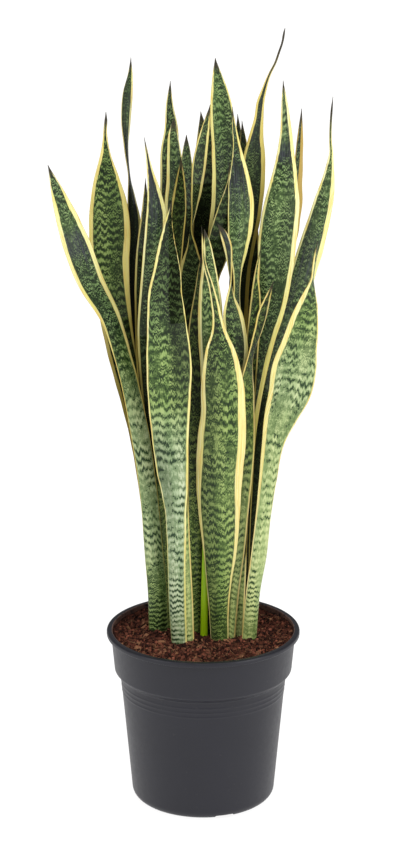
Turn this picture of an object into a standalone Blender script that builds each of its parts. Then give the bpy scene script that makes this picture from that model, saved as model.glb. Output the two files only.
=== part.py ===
"""Potted laurentii snake plant: a nursery pot, its soil and thirty-one sword-shaped leaves.

Millimetres in the tables, metres in the meshes. Z is up, -Y is the front, and the origin is the
middle of the pot's underside, on the surface that the pot stands on.
"""

import math
from collections import namedtuple

import bmesh
import bpy
import numpy as np
from mathutils import Matrix

MM = 0.001
FIT_GAP = 0.45
SOIL_FIT = 0.6

POT_HEIGHT = 220.0
RIM_RADIUS = 120.0
LIP_HEIGHT = 6.5
LIP_OVERHANG = 5.5
LIP_UNDER_ROUNDING = 1.6
LIP_TOP_ROUNDING = 2.6
RIM_INNER_BEVEL = 1.4
COLLAR_FOOT_RADIUS = 110.5
COLLAR_FOOT_HEIGHT = 170.0
STEP_RADIUS = 103.0
STEP_HEIGHT = 160.0
STEP_SHIFT = 1.0
FOOT_RADIUS = 89.5
FOOT_ROUNDING = 11.5
WALL = 1.8
FLOOR = 3.0
POT_SEGMENTS = 48
SMOOTH_ANGLE = math.radians(35)

NOTCH_COUNT = 4
NOTCH_FIRST_ANGLE = -71.4
NOTCH_WIDTH = 25.0
NOTCH_HEIGHT = 4.5
NOTCH_DEPTH = 12.0
DRAIN_COUNT = 6
DRAIN_RADIUS = 5.0
DRAIN_CIRCLE = 48.0
DRAIN_SEGMENTS = 12

SOIL_LEVEL = 203.0
SOIL_MOUND = 3.5
SOIL_LUMPS = 1.3
SOIL_BANK = 12.0
SOIL_BANK_POWER = 5
HEAP_RISE = 8.0
HEAP_SPREAD = 34.0
HEAP_X = -62.0
HEAP_Y = 8.0
SOIL_RINGS = 8

FOOT_SINK = 30.0
STATION_GAP = 62.0
ACROSS = (-1.0, -0.42, 0.42, 1.0)
THICK_FOOT = 3.8
THICK_MID = 2.6
THICK_TIP = 1.3
THICK_EDGE = 0.9
CUP_FOOT = 54.0
CUP_MID = 15.0
LEAST_CUP = 0.02
THICK_PER_WIDTH = 0.12
SLOT_RISE = 20.0

CLUMP_MIDDLE = 18.0
LEAN = 1.35
LEAN_HEIGHT = 700.0
LEAN_POWER = 1.5
EYE_ASIDE = -2.1
EYE_DISTANCE = 3000.0
EYE_OVER_RIM = math.radians(21)

Leaf = namedtuple("Leaf", "cup_top rows")

# Each row is one place up a leaf: across (x), back (y), height over the soil's edge, width and turn.
# The back is where the leaf would be if it stood upright: lean_out then tips it out of the clump.
# A turn of 0 degrees has the leaf's flat face to the front, and 90 has it edge on. cup_top is the
# bend across the leaf near its tip in degrees, less than 0 where its edges come forward.
LEAVES = {
    "leaf_left_outer": Leaf(-16, (
        (-55, 7, 4, 24, 8), (-56, 7, 60, 24, 10), (-60, 8, 106, 23, 10),
        (-66, 9, 184, 22, 12), (-77, 10, 267, 23, 16), (-97, 12, 363, 23, 28),
        (-112, 14, 411, 25, 22), (-136, 16, 457, 32, 6), (-150, 15, 497, 34, -6),
        (-168, 12, 551, 22, -10), (-184, 10, 598, 0, -10))),
    "leaf_left_rear_broad": Leaf(-18, (
        (-57, 45, 4, 19, -6), (-60, 45, 90, 22, -8), (-67, 45, 173, 25, -8),
        (-80, 46, 263, 28, -8), (-89, 46, 307, 31, -6), (-100, 46, 359, 35, -4),
        (-110, 47, 433, 42, 0), (-113, 47, 475, 47, 4), (-113, 47, 509, 50, 6),
        (-114, 47, 543, 45, 6), (-116, 47, 575, 30, 4), (-117, 48, 607, 11, 0),
        (-117, 48, 622, 6, -8), (-117, 48, 633, 4.2, -14), (-116, 48, 645, 3.6, -20),
        (-116, 48, 655, 0, -20))),
    "leaf_left_rear_twisted": Leaf(10, (
        (-56, 55, 4, 18, 6), (-65, 57, 165, 21, 10), (-77, 58, 295, 23, 14),
        (-86, 58, 384, 22, 22), (-87, 59, 472, 22, 36), (-84, 59, 527, 20, 40),
        (-86, 59, 548, 16, 56), (-89, 59, 576, 13, 84), (-92, 59, 610, 12, 66),
        (-92, 60, 649, 13, 24), (-90, 60, 675, 12, 10), (-87, 60, 697, 6, 0),
        (-86, 60, 718, 0, 0))),
    "leaf_left_dark": Leaf(14, (
        (-40, 18, 4, 18, 6), (-50, 18, 180, 21, 12), (-61, 19, 306, 27, 14),
        (-65, 20, 394, 29, 12), (-60, 20, 461, 29, 8), (-57, 20, 508, 27, 4),
        (-56, 20, 537, 24, 0), (-59, 20, 566, 15, 0), (-63, 21, 587, 8, 0),
        (-70, 22, 629, 0, 0))),
    "leaf_left_dark_behind": Leaf(10, (
        (-50, 28, 4, 17, 10), (-58, 28, 150, 19, 8), (-67, 28, 278, 21, 6),
        (-71, 28, 393, 23, 4), (-71, 29, 468, 22, 0), (-70, 29, 497, 19, 0),
        (-69, 29, 526, 13, 0), (-69, 30, 578, 0, 0))),
    "leaf_left_behind_outer": Leaf(8, (
        (-58, 36, 4, 16, 4), (-66, 36, 172, 19, 8), (-75, 36, 263, 20, 10),
        (-83, 35, 303, 20, 12), (-93, 35, 344, 17, 12), (-98, 34, 369, 13, 10),
        (-101, 34, 410, 0, 10))),
    "leaf_front_left": Leaf(16, (
        (-30, -24, 4, 19, -6), (-32, -24, 50, 21, -6), (-33, -24, 113, 22, -6),
        (-33, -24, 146, 24, -6), (-34, -24, 175, 26, -8), (-35, -25, 196, 31, -8),
        (-38, -26, 230, 39, -8), (-40, -26, 267, 44, -6), (-41, -25, 315, 51, -2),
        (-41, -22, 367, 54, 2), (-43, -19, 405, 48, 4), (-45, -17, 449, 40, 4),
        (-43, -15, 476, 32, 2), (-43, -13, 504, 21, 0), (-41, -11, 532, 9, 0),
        (-37, -10, 560, 0, 0))),
    "leaf_front_left_behind": Leaf(12, (
        (-22, -13, 4, 22, 4), (-23, -13, 46, 22, 4), (-26, -12, 109, 22, 4),
        (-29, -11, 172, 23, 6), (-32, -10, 230, 25, 6), (-36, -8, 314, 27, 8),
        (-38, -6, 437, 23, 8), (-36, -5, 483, 21, 8), (-33, -4, 517, 21, 4),
        (-29, -3, 552, 18, 0), (-27, -3, 581, 11, 0), (-26, -2, 610, 0, 0))),
    "leaf_mid_left": Leaf(12, (
        (-29, 40, 4, 17, -4), (-33, 37, 180, 22, -6), (-38, 34, 307, 27, -6),
        (-38, 33, 432, 27, -6), (-34, 33, 541, 26, -6), (-33, 33, 576, 22, -4),
        (-35, 33, 611, 16, -2), (-36, 33, 631, 11, 0), (-35, 33, 650, 0, 0))),
    "leaf_mid_left_rear": Leaf(12, (
        (-24, 49, 4, 17, 0), (-31, 46, 176, 22, 4), (-38, 43, 304, 25, 4),
        (-40, 41, 429, 28, 4), (-39, 41, 534, 27, 4), (-39, 41, 575, 25, 4),
        (-40, 41, 606, 22, 2), (-38, 41, 636, 16, 0), (-40, 41, 663, 9, 0),
        (-39, 41, 693, 0, 0))),
    "leaf_mid_spear": Leaf(14, (
        (-24, 31, 4, 15, 0), (-26, 30, 183, 20, 4), (-27, 28, 310, 22, 6),
        (-25, 27, 434, 22, 6), (-22, 27, 508, 21, 6), (-21, 27, 556, 19, 4),
        (-20, 27, 595, 14, 2), (-20, 27, 615, 8, 0), (-20, 27, 631, 0, 0))),
    "leaf_centre_rear_dark": Leaf(10, (
        (-4, 50, 4, 18, 0), (-8, 50, 298, 24, -6), (-6, 50, 425, 25, -10),
        (-2, 50, 548, 25, -12), (0, 50, 597, 22, -8), (0, 50, 616, 17, -4),
        (-1, 50, 635, 10, 0), (-3, 50, 655, 0, 0))),
    "leaf_centre_leaning": Leaf(14, (
        (-12, 23, 4, 17, 0), (-16, 22, 176, 25, -6), (-17, 20, 306, 33, -8),
        (-16, 20, 369, 37, -8), (-15, 19, 431, 37, -6), (-14, 17, 471, 30, -20),
        (-14, 15, 497, 22, -56), (-15, 14, 518, 18, -84), (-12, 14, 540, 17, -110),
        (-9, 13, 564, 17, -136), (-6, 14, 592, 18, -155), (-2, 15, 618, 15, -165),
        (3, 16, 643, 9, -170), (8, 16, 668, 0, -170))),
    "leaf_centre_broad": Leaf(18, (
        (-5, 34, 4, 19, 0), (-4, 36, 176, 23, 0), (-2, 38, 306, 26, 0),
        (-1, 38, 431, 27, -4), (0, 38, 506, 27, -6), (3, 38, 570, 25, -4),
        (6, 38, 615, 19, 0), (8, 38, 642, 10, 0), (8, 38, 665, 0, 0))),
    "leaf_centre_twisted_tall": Leaf(12, (
        (11, 21, 4, 18, 0), (9, 24, 244, 22, 8), (9, 26, 371, 22, 22),
        (10, 27, 433, 21, 42), (12, 28, 462, 20, 56), (13, 28, 489, 20, 46),
        (18, 28, 520, 24, 24), (23, 28, 545, 27, 10), (25, 28, 577, 29, 0),
        (24, 28, 612, 28, -4), (21, 28, 665, 26, -4), (19, 28, 683, 20, -4),
        (16, 28, 704, 10, 0), (14, 28, 722, 0, 0))),
    "leaf_centre_small_tip": Leaf(8, (
        (30, 24, 4, 13, 0), (28, 24, 200, 13, 0), (22, 20, 330, 13, 0), (14, 15, 400, 13, 0),
        (10, 14, 440, 15, 0), (11, 14, 460, 17, 0), (14, 14, 480, 26, 0), (18, 14, 498, 28, 0),
        (22, 15, 517, 26, 0), (29, 17, 548, 20, 0), (31, 18, 566, 11, 0), (32, 18, 580, 5, 0),
        (31, 19, 600, 0, 0))),
    "leaf_centre_right": Leaf(14, (
        (30, 15, 4, 17, 0), (34, 15, 178, 19, 0), (37, 15, 307, 19, 4),
        (40, 15, 395, 17, 24), (41, 15, 447, 13, 52), (42, 14, 471, 17, 44),
        (43, 13, 494, 25, 26), (44, 12, 516, 29, 10), (45, 12, 545, 31, 0),
        (43, 12, 577, 26, -4), (42, 12, 595, 19, -6), (40, 12, 617, 10, -4),
        (36, 12, 647, 4, 0), (34, 12, 667, 0, 0))),
    "leaf_rear_small_left": Leaf(8, (
        (31, 51, 4, 16, 0), (40, 50, 297, 17, 4), (43, 50, 449, 16, 8),
        (44, 50, 548, 16, 8), (43, 50, 608, 11, 4), (42, 50, 633, 6, 0),
        (41, 50, 652, 0, 0))),
    "leaf_rear_small_right": Leaf(8, (
        (37, 42, 4, 15, 0), (47.5, 40, 300, 19, 0), (56, 39, 425, 23, 0),
        (56, 39, 490, 23, 0), (53, 39, 550, 19, -4), (50, 39, 588, 14, -4),
        (48, 39, 617, 9, 0), (46, 39, 646, 0, 0))),
    "leaf_right_rear_tall": Leaf(14, (
        (40, 34, 4, 17, 0), (41, 34, 150, 19, 4), (41, 33, 304, 22, 6),
        (43, 32, 421, 24, 8), (44, 31, 454, 25, 8), (48, 31, 491, 27, 8),
        (54, 31, 527, 29, 4), (58, 31, 563, 30, 0), (61, 31, 608, 25, -4),
        (63, 31, 629, 17, -6), (66, 31, 651, 11, -6), (68, 31, 670, 9, 0),
        (72, 31, 684, 6, 0), (75, 31, 694, 4.2, 0), (79, 31, 704, 3.2, 0),
        (85, 31, 716, 2.6, 0), (89, 31, 728, 2.5, 0), (93, 31, 740, 2.3, 0),
        (95, 31, 752, 2, 0), (96, 31, 757, 0, 0))),
    "leaf_right_tall": Leaf(16, (
        (48, 19, 4, 16, 0), (50, 20, 179, 20, -4), (55, 21, 278, 23, -8),
        (65, 20, 347, 27, -12), (74, 19, 392, 31, -12), (80, 19, 419, 36, -10),
        (84, 19, 447, 40, -6), (87, 19, 477, 44, 0), (90, 20, 513, 46, 4),
        (94, 20, 547, 43, 6), (97, 21, 584, 30, 6), (98, 22, 609, 21, 4),
        (98, 22, 635, 14, 0), (96, 23, 667, 8, 0), (94, 24, 696, 0, 0))),
    "leaf_right_rear": Leaf(10, (
        (58, 43, 4, 15, 0), (58, 44, 170, 19, 6), (69, 45, 336, 21, 14),
        (84, 45, 411, 23, 20), (95, 46, 469, 25, 24), (106, 46, 518, 26, 30),
        (111, 46, 550, 23, 36), (113, 46, 572, 20, 46), (115, 46, 600, 16, 50),
        (116, 46, 627, 9, 40), (117, 46, 659, 0, 30))),
    "leaf_right_outer": Leaf(14, (
        (53, 27, 4, 14, 0), (56, 28, 124, 18, 4), (66, 29, 227, 22, 8),
        (76, 30, 305, 24, 10), (89, 31, 372, 26, 12), (106, 31, 415, 28, 14),
        (120, 30, 458, 31, 10), (131, 29, 498, 30, 4), (139, 28, 529, 26, 0),
        (145, 27, 555, 22, -4), (149, 26, 577, 15, -4), (151, 25, 598, 8, 0),
        (152, 25, 610, 4.6, 0), (151, 25, 622, 3.3, 0), (151, 25, 647, 2.6, 0),
        (152, 25, 664, 2.2, 0), (153, 24, 677, 0, 0))),
    "leaf_front_right": Leaf(14, (
        (58, -6, 4, 18, 10), (63, -9, 71, 18, 12), (69, -11, 114, 20, 12),
        (73, -13, 159, 19, 8), (79, -16, 217, 22, 2), (85, -18, 265, 28, -4),
        (93, -18, 295, 40, -6), (103, -19, 323, 50, -4), (107, -19, 340, 54, 0),
        (110, -19, 359, 53, 4), (115, -19, 383, 45, 8), (123, -19, 427, 30, 14),
        (127, -20, 451, 18, 36), (130, -20, 469, 12, 74), (132, -20, 487, 8, 60),
        (135, -20, 513, 0, 40))),
    "leaf_right_short": Leaf(10, (
        (34, 2, 4, 12, 0), (38, 2, 61, 13, 0), (44, 2, 125, 16, 0), (47, 1, 167, 17, 0),
        (50, 1, 208, 19, 0), (53, 0, 250, 19, 4), (53, -1, 312, 19, 14), (54, -1, 343, 18, 40),
        (57, -1, 364, 15, 60), (62, -2, 384, 13, 50), (67, -2, 401, 12, 30),
        (71, -3, 419, 12, 14), (77, -3, 439, 7, 4), (84, -3, 460, 0, 0))),
    "leaf_right_inner_small": Leaf(8, (
        (43, 9, 4, 14, 0), (51, 9, 247, 17, 0), (59, 10, 373, 16, 0),
        (62, 10, 411, 15, 0), (63, 10, 435, 12, 0), (64, 10, 468, 5, 0), (69, 10, 500, 0, 0))),
    "leaf_centre_twisted": Leaf(12, (
        (25, 8, 4, 15, 0), (27, 6, 118, 18, 0), (31, 5, 247, 22, 0),
        (37, 3, 343, 26, 2), (40, 2, 370, 28, 4), (38, 2, 400, 27, 10),
        (35, 1, 421, 24, 26), (33, 1, 439, 18, 54), (33, 1, 456, 14, 86),
        (32, 0, 479, 12, 118), (28, 0, 507, 12, 150), (23, 0, 520, 8, 160),
        (17, 0, 529, 0, 165))),
    "leaf_front_centre": Leaf(12, (
        (21, -7, 4, 22, 6), (20, -8, 44, 25, 6), (20, -9, 81, 32, 4),
        (21, -11, 114, 40, 2), (20, -12, 157, 49, 0), (19, -13, 200, 55, -2),
        (20, -15, 234, 58, -4), (22, -16, 263, 59, -4), (24, -15, 303, 54, -4),
        (23, -14, 333, 52, 0), (22, -14, 353, 46, 2), (20, -13, 381, 33, 2),
        (19, -12, 397, 20, 2), (17, -12, 415, 12, 0), (14, -11, 434, 9, 0),
        (9, -10, 457, 6, 0), (2, -10, 481, 4, 0), (-2, -8, 528, 0, 0))),
    "leaf_centre_behind": Leaf(12, (
        (10, 11, 4, 11, 0), (9, 10, 130, 14, 0), (9, 7, 200, 16, 0), (9, 2, 260, 21, 2),
        (10, 0, 353, 27, 4),
        (9, 0, 395, 30.4, 4), (8, 0, 439, 27, 2), (7, 0, 466, 20, 0),
        (6, 0, 489, 13, 0), (4, 0, 509, 7, 0), (1, 0, 523, 0, 0))),
    "leaf_centre_left_narrow": Leaf(12, (
        (-9, 15, 4, 12, 0), (-10, 12, 115, 17, -4), (-9, 8, 245, 21, -6),
        (-8, 6, 309, 23, -6), (-6, 6, 400, 23, -4), (-5, 6, 419, 20, -2),
        (-4, 6, 447, 12, 0), (-3, 6, 476, 5, 0), (-2, 6, 492, 0, 0))),
    "leaf_young_shoot": Leaf(20, (
        (1, 4, 4, 9, 0), (2, 4, 84, 8, 0), (3, 3, 156, 5, 0), (4, 2, 208, 0, 0))),
}


def material(name, colour, roughness, metallic=0.0):
    made = bpy.data.materials.new(name)
    made.use_nodes = True
    shader = made.node_tree.nodes["Principled BSDF"]
    shader.inputs["Base Color"].default_value = (*colour, 1.0)
    shader.inputs["Roughness"].default_value = roughness
    shader.inputs["Metallic"].default_value = metallic
    made.diffuse_color = (*colour, 1.0)
    return made


def link(name, mesh, finish):
    thing = bpy.data.objects.new(name, mesh)
    bpy.context.scene.collection.objects.link(thing)
    if finish:
        mesh.materials.append(finish)
    return thing


def hide_cutter(cutter):
    cutter.hide_render = True
    cutter.display_type = "WIRE"


def cut(thing, cutter):
    boolean = thing.modifiers.new("cut", "BOOLEAN")
    boolean.operation = "DIFFERENCE"
    boolean.solver = "EXACT"
    boolean.use_self = True
    boolean.object = cutter


def turned(name, outline, segments, finish):
    """Turns an outline of (radius, height) points, which starts and ends on the axis, once round."""
    shape = bmesh.new()
    points = [shape.verts.new((radius * MM, 0.0, height * MM)) for radius, height in outline]
    edges = [shape.edges.new(pair) for pair in zip(points[:-1], points[1:])]
    bmesh.ops.spin(
        shape, geom=points + edges, cent=(0, 0, 0), axis=(0, 0, 1),
        angle=math.tau, steps=segments, use_merge=True, use_duplicate=False,
    )
    bmesh.ops.remove_doubles(shape, verts=shape.verts[:], dist=1e-6)
    bmesh.ops.recalc_face_normals(shape, faces=shape.faces[:])
    mesh = bpy.data.meshes.new(name)
    shape.to_mesh(mesh)
    shape.free()
    mesh.shade_smooth()
    mesh.set_sharp_from_angle(angle=SMOOTH_ANGLE)
    return link(name, mesh, finish)


def arc(centre, radius, start, end, steps):
    """Points on an arc from start to end degrees round centre, both ends among them."""
    return [
        (centre[0] + radius * math.cos(math.radians(angle)),
         centre[1] + radius * math.sin(math.radians(angle)))
        for angle in np.linspace(start, end, steps + 1)
    ]


def inner_wall(shrink):
    """The cavity's outline from the floor's edge up to the rim, moved inwards by shrink."""
    side = WALL + shrink
    rounding = FOOT_ROUNDING - WALL
    corner = (FOOT_RADIUS - FOOT_ROUNDING, FLOOR + rounding)
    floor_corner = arc(corner, rounding - shrink, -90, -8, 3)
    return floor_corner + [
        (STEP_RADIUS - side, STEP_HEIGHT + STEP_SHIFT),
        (COLLAR_FOOT_RADIUS - side, COLLAR_FOOT_HEIGHT + STEP_SHIFT),
    ]


def collar_radius(height):
    """The collar's outside, which widens evenly from its foot up to the lip."""
    lip_foot = POT_HEIGHT - LIP_HEIGHT
    rise = (height - COLLAR_FOOT_HEIGHT) / (lip_foot - COLLAR_FOOT_HEIGHT)
    return COLLAR_FOOT_RADIUS + rise * (RIM_RADIUS - LIP_OVERHANG - COLLAR_FOOT_RADIUS)


def make_pot():
    lip_foot = POT_HEIGHT - LIP_HEIGHT
    rim_inside = collar_radius(lip_foot) - WALL
    foot = arc((FOOT_RADIUS - FOOT_ROUNDING, FOOT_ROUNDING), FOOT_ROUNDING, -90, -6, 4)
    side = [
        (STEP_RADIUS, STEP_HEIGHT),
        (COLLAR_FOOT_RADIUS, COLLAR_FOOT_HEIGHT),
        (collar_radius(lip_foot), lip_foot),
    ]
    lip_under = (RIM_RADIUS - LIP_UNDER_ROUNDING, lip_foot + LIP_UNDER_ROUNDING)
    lip_top = (RIM_RADIUS - LIP_TOP_ROUNDING, POT_HEIGHT - LIP_TOP_ROUNDING)
    lip = arc(lip_under, LIP_UNDER_ROUNDING, -80, 0, 2) + arc(lip_top, LIP_TOP_ROUNDING, 0, 90, 3)
    outer = [(0.0, 0.0)] + foot + side + lip
    inner = [
        (rim_inside + RIM_INNER_BEVEL, POT_HEIGHT),
        (rim_inside, POT_HEIGHT - RIM_INNER_BEVEL),
        (rim_inside, lip_foot),
    ]
    inner += inner_wall(0.0)[::-1] + [(0.0, FLOOR)]
    plastic = material("anthracite_plastic", (0.048, 0.048, 0.058), 0.42)
    pot = turned("pot", outer + inner, POT_SEGMENTS, plastic)
    cut(pot, make_drain_cutters())


def make_drain_cutters():
    """Slots at the foot's edge and round holes in the floor, which let the water out."""
    shape = bmesh.new()
    for index in range(NOTCH_COUNT):
        angle = math.radians(NOTCH_FIRST_ANGLE + 360.0 / NOTCH_COUNT * index)
        box = bmesh.ops.create_cube(shape, size=1.0)["verts"]
        size = (2 * NOTCH_DEPTH * MM, NOTCH_WIDTH * MM, 2 * NOTCH_HEIGHT * MM)
        bmesh.ops.scale(shape, vec=size, verts=box)
        bmesh.ops.translate(shape, vec=(FOOT_RADIUS * MM, 0, 0), verts=box)
        turn = Matrix.Rotation(angle, 3, "Z")
        bmesh.ops.rotate(shape, cent=(0, 0, 0), matrix=turn, verts=box)
    for index in range(DRAIN_COUNT):
        angle = math.tau * (index + 0.5) / DRAIN_COUNT
        hole = bmesh.ops.create_cone(
            shape, cap_ends=True, segments=DRAIN_SEGMENTS, radius1=DRAIN_RADIUS * MM,
            radius2=DRAIN_RADIUS * MM, depth=4 * FLOOR * MM,
        )["verts"]
        place = (DRAIN_CIRCLE * MM * math.cos(angle), DRAIN_CIRCLE * MM * math.sin(angle), 0)
        bmesh.ops.translate(shape, vec=place, verts=hole)
    mesh = bpy.data.meshes.new("drain_cutters")
    shape.to_mesh(mesh)
    shape.free()
    cutter = link("drain_cutters", mesh, None)
    hide_cutter(cutter)
    return cutter


def soil_edge():
    """The radius that the soil fills, where it banks up against the wall just under the rim."""
    return collar_radius(POT_HEIGHT - LIP_HEIGHT) - WALL - SOIL_FIT


def soil_height(x, y):
    """A low mound that banks up at the wall and by the left leaves, with lumps from two waves."""
    share = np.hypot(x, y) / soil_edge()
    shape = SOIL_MOUND * (1.0 - share**2) + SOIL_BANK * share**SOIL_BANK_POWER
    away = np.hypot(x - HEAP_X, y - HEAP_Y) / HEAP_SPREAD
    heap = HEAP_RISE * np.exp(-away * away) * (1.0 - share**2)
    lumps = np.sin(x / 9.0 + 1.3) * np.cos(y / 11.0 - 0.4) + 0.6 * np.sin(y / 6.0 + x / 15.0)
    return SOIL_LEVEL + shape + heap + SOIL_LUMPS * lumps


def make_soil(cutter):
    underside = [(0.0, FLOOR + SOIL_FIT)] + inner_wall(SOIL_FIT)
    top = [(soil_edge() * ring / SOIL_RINGS, SOIL_LEVEL) for ring in range(SOIL_RINGS, -1, -1)]
    earth = material("peat_soil", (0.05, 0.03, 0.02), 0.95)
    soil = turned("soil", underside + top, POT_SEGMENTS, earth)
    for vertex in soil.data.vertices:
        if vertex.co.z > (SOIL_LEVEL - 0.5) * MM:
            vertex.co.z = soil_height(vertex.co.x / MM, vertex.co.y / MM) * MM
    cut(soil, cutter)


def lean_out(rows):
    """Tips the leaves before and behind the clump's middle out of it, the more the higher they reach.

    Each row slides along its line of sight from the eye in front of the pot, and its width grows or
    shrinks with the distance, so from there the leaves look the same as upright ones.
    """
    eye = np.array([EYE_ASIDE, -EYE_DISTANCE, POT_HEIGHT + EYE_DISTANCE * math.tan(EYE_OVER_RIM)])
    level = np.maximum(rows[:, 2] - SOIL_LEVEL, 0) / LEAN_HEIGHT
    move = (rows[:, 1] - CLUMP_MIDDLE) * LEAN * level**LEAN_POWER
    farther = (1 + move / (rows[:, 1] - eye[1]))[:, None]
    places = eye + (rows[:, :3] - eye) * farther
    return np.hstack([places, rows[:, 3:4] * farther, rows[:, 4:]])


def smooth_rows(rows):
    """Adds rows between far ones, on a smooth curve through all, and a foot below the soil."""
    rows = lean_out(np.array(rows, float) + [0, 0, SOIL_LEVEL, 0, 0])
    steps = np.linalg.norm(np.diff(rows[:, :3], axis=0), axis=1)
    along = np.concatenate([[0.0], np.cumsum(steps)])
    slope = np.gradient(rows, along, axis=0)
    slope[-1] = (rows[-1] - rows[-2]) / steps[-1]
    made = [rows[0] - (slope[0] * [1, 1, 0, 0, 0] + [0, 0, 1, 0, 0]) * FOOT_SINK]
    for index, step in enumerate(steps):
        count = max(1, math.ceil(step / STATION_GAP))
        for part in np.arange(count) / count:
            square, cube = part * part, part**3
            made.append(
                (2 * cube - 3 * square + 1) * rows[index]
                + (cube - 2 * square + part) * step * slope[index]
                + (3 * square - 2 * cube) * rows[index + 1]
                + (cube - square) * step * slope[index + 1]
            )
    return np.array(made + [rows[-1]])


def leaf_faces(stations):
    """Both faces, both edges and the foot's cap, with each face split the same way as the other."""
    last = len(ACROSS) - 1
    ring = 2 * (last + 1)

    def front(station, place):
        return station * ring + place

    def back(station, place):
        return station * ring + ring - 1 - place

    faces = []
    for station in range(stations - 1):
        above = station + 1
        for place in range(last):
            beside = place + 1
            faces.append((front(station, place), front(station, beside), front(above, beside)))
            faces.append((front(station, place), front(above, beside), front(above, place)))
            faces.append((back(station, place), back(above, beside), back(station, beside)))
            faces.append((back(station, place), back(above, place), back(above, beside)))
        faces.append((back(station, 0), front(station, 0), front(above, 0), back(above, 0)))
        faces.append((front(station, last), back(station, last), back(above, last), front(above, last)))
    for place in range(last):
        beside = place + 1
        faces.append((front(0, place), back(0, place), back(0, beside), front(0, beside)))
    tip = stations * ring
    top = (stations - 1) * ring
    faces += [(top + place, top + (place + 1) % ring, tip) for place in range(ring)]
    return faces


def leaf_mesh(leaf, grow=0.0, below=None):
    """A strip bent across into an arc, thick in the middle and thin at its edges.

    grow makes it that much bigger all round, and below leaves out what is higher than that.
    """
    rows = smooth_rows(leaf.rows)
    middle = rows[:-1, :3]
    width = rows[:-1, 3]
    turn = np.radians(rows[:-1, 4])
    height = (middle[:, 2] - middle[0, 2]) / (rows[-1, 2] - middle[0, 2])
    tangent = np.gradient(rows[:, :3], axis=0)[:-1]
    tangent /= np.linalg.norm(tangent, axis=1)[:, None]
    facing = np.stack([np.sin(turn), -np.cos(turn), np.zeros_like(turn)], axis=1)
    facing -= (facing * tangent).sum(axis=1)[:, None] * tangent
    facing /= np.linalg.norm(facing, axis=1)[:, None]
    side = np.cross(tangent, facing)

    cups = [CUP_FOOT, CUP_FOOT, CUP_MID, leaf.cup_top]
    cup = np.radians(np.interp(height, [0.0, 0.08, 0.5, 1.0], cups))
    cup = np.where(np.abs(cup) < LEAST_CUP, LEAST_CUP, cup)
    thicknesses = [THICK_FOOT, THICK_MID, THICK_MID * 0.75, THICK_TIP]
    thick = np.interp(height, [0.0, 0.3, 0.9, 1.0], thicknesses)
    thick = np.clip(thick, THICK_EDGE, THICK_EDGE + THICK_PER_WIDTH * width)
    radius = width / 2 / np.sin(cup)

    rings = []
    for face in (1.0, -1.0):
        places = ACROSS if face > 0 else ACROSS[::-1]
        for place in places:
            angle = place * cup
            at_edge = abs(place) == 1.0
            half = (np.full_like(thick, THICK_EDGE) if at_edge else thick) / 2 + grow
            out = facing * np.cos(angle)[:, None] + side * np.sin(angle)[:, None]
            point = middle + side * (radius * np.sin(angle))[:, None]
            point = point + facing * (radius * (np.cos(angle) - 1.0))[:, None]
            if at_edge:
                along = side * np.cos(angle)[:, None] - facing * np.sin(angle)[:, None]
                point = point + along * (grow * place)
            rings.append(point + out * (half * face)[:, None])
    points = np.stack(rings, axis=1)
    if grow:
        points[0, :, 2] -= grow
    if below is not None:
        count = int((middle[:, 2] < below).sum()) + 1
        tip = points[count - 1].mean(axis=0) + [0, 0, 1.0]
        points = points[:count]
    else:
        count = len(points)
        tip = rows[-1, :3]
    flat = np.concatenate([points.reshape(-1, 3), [tip]]) * MM
    return flat, leaf_faces(count)


def make_leaves():
    shades = {"deep": (0.05, 0.11, 0.04), "mid": (0.11, 0.2, 0.07), "pale": (0.3, 0.38, 0.16)}
    greens = [material("leaf_green_" + shade, colour, 0.45) for shade, colour in shades.items()]
    for index, (name, leaf) in enumerate(LEAVES.items()):
        points, faces = leaf_mesh(leaf)
        mesh = bpy.data.meshes.new(name)
        mesh.from_pydata(points.tolist(), [], faces)
        mesh.shade_smooth()
        mesh.set_sharp_from_angle(angle=2 * SMOOTH_ANGLE)
        link(name, mesh, greens[index % len(greens)])


def make_slot_cutter():
    """All the leaves' feet, a fit's gap larger, which leave plain slots in the soil."""
    points = []
    faces = []
    for leaf in LEAVES.values():
        foot_points, foot_faces = leaf_mesh(leaf, grow=FIT_GAP, below=SOIL_LEVEL + SLOT_RISE)
        faces += [tuple(corner + len(points) for corner in face) for face in foot_faces]
        points += foot_points.tolist()
    mesh = bpy.data.meshes.new("slot_cutter")
    mesh.from_pydata(points, [], faces)
    cutter = link("slot_cutter", mesh, None)
    hide_cutter(cutter)
    return cutter


def clear_scene():
    for thing in list(bpy.data.objects):
        bpy.data.objects.remove(thing)


def main():
    clear_scene()
    make_pot()
    make_leaves()
    make_soil(make_slot_cutter())


main()
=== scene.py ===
# %% [markdown]
# # A potted laurentii snake plant
#
# A snake plant grows as a rosette of stiff, sword-shaped leaves that come straight out of the soil.
# This kind has yellow margins and dark cross-bands on a grey-green ground. Here thirty-one leaves
# stand in peat in an anthracite nursery pot.
#
# The packed model is loaded first and stays as it is. Each leaf, the soil and the pot then get a
# finer piece that keeps the packed one's form and adds what the eye sees from near.

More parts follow.
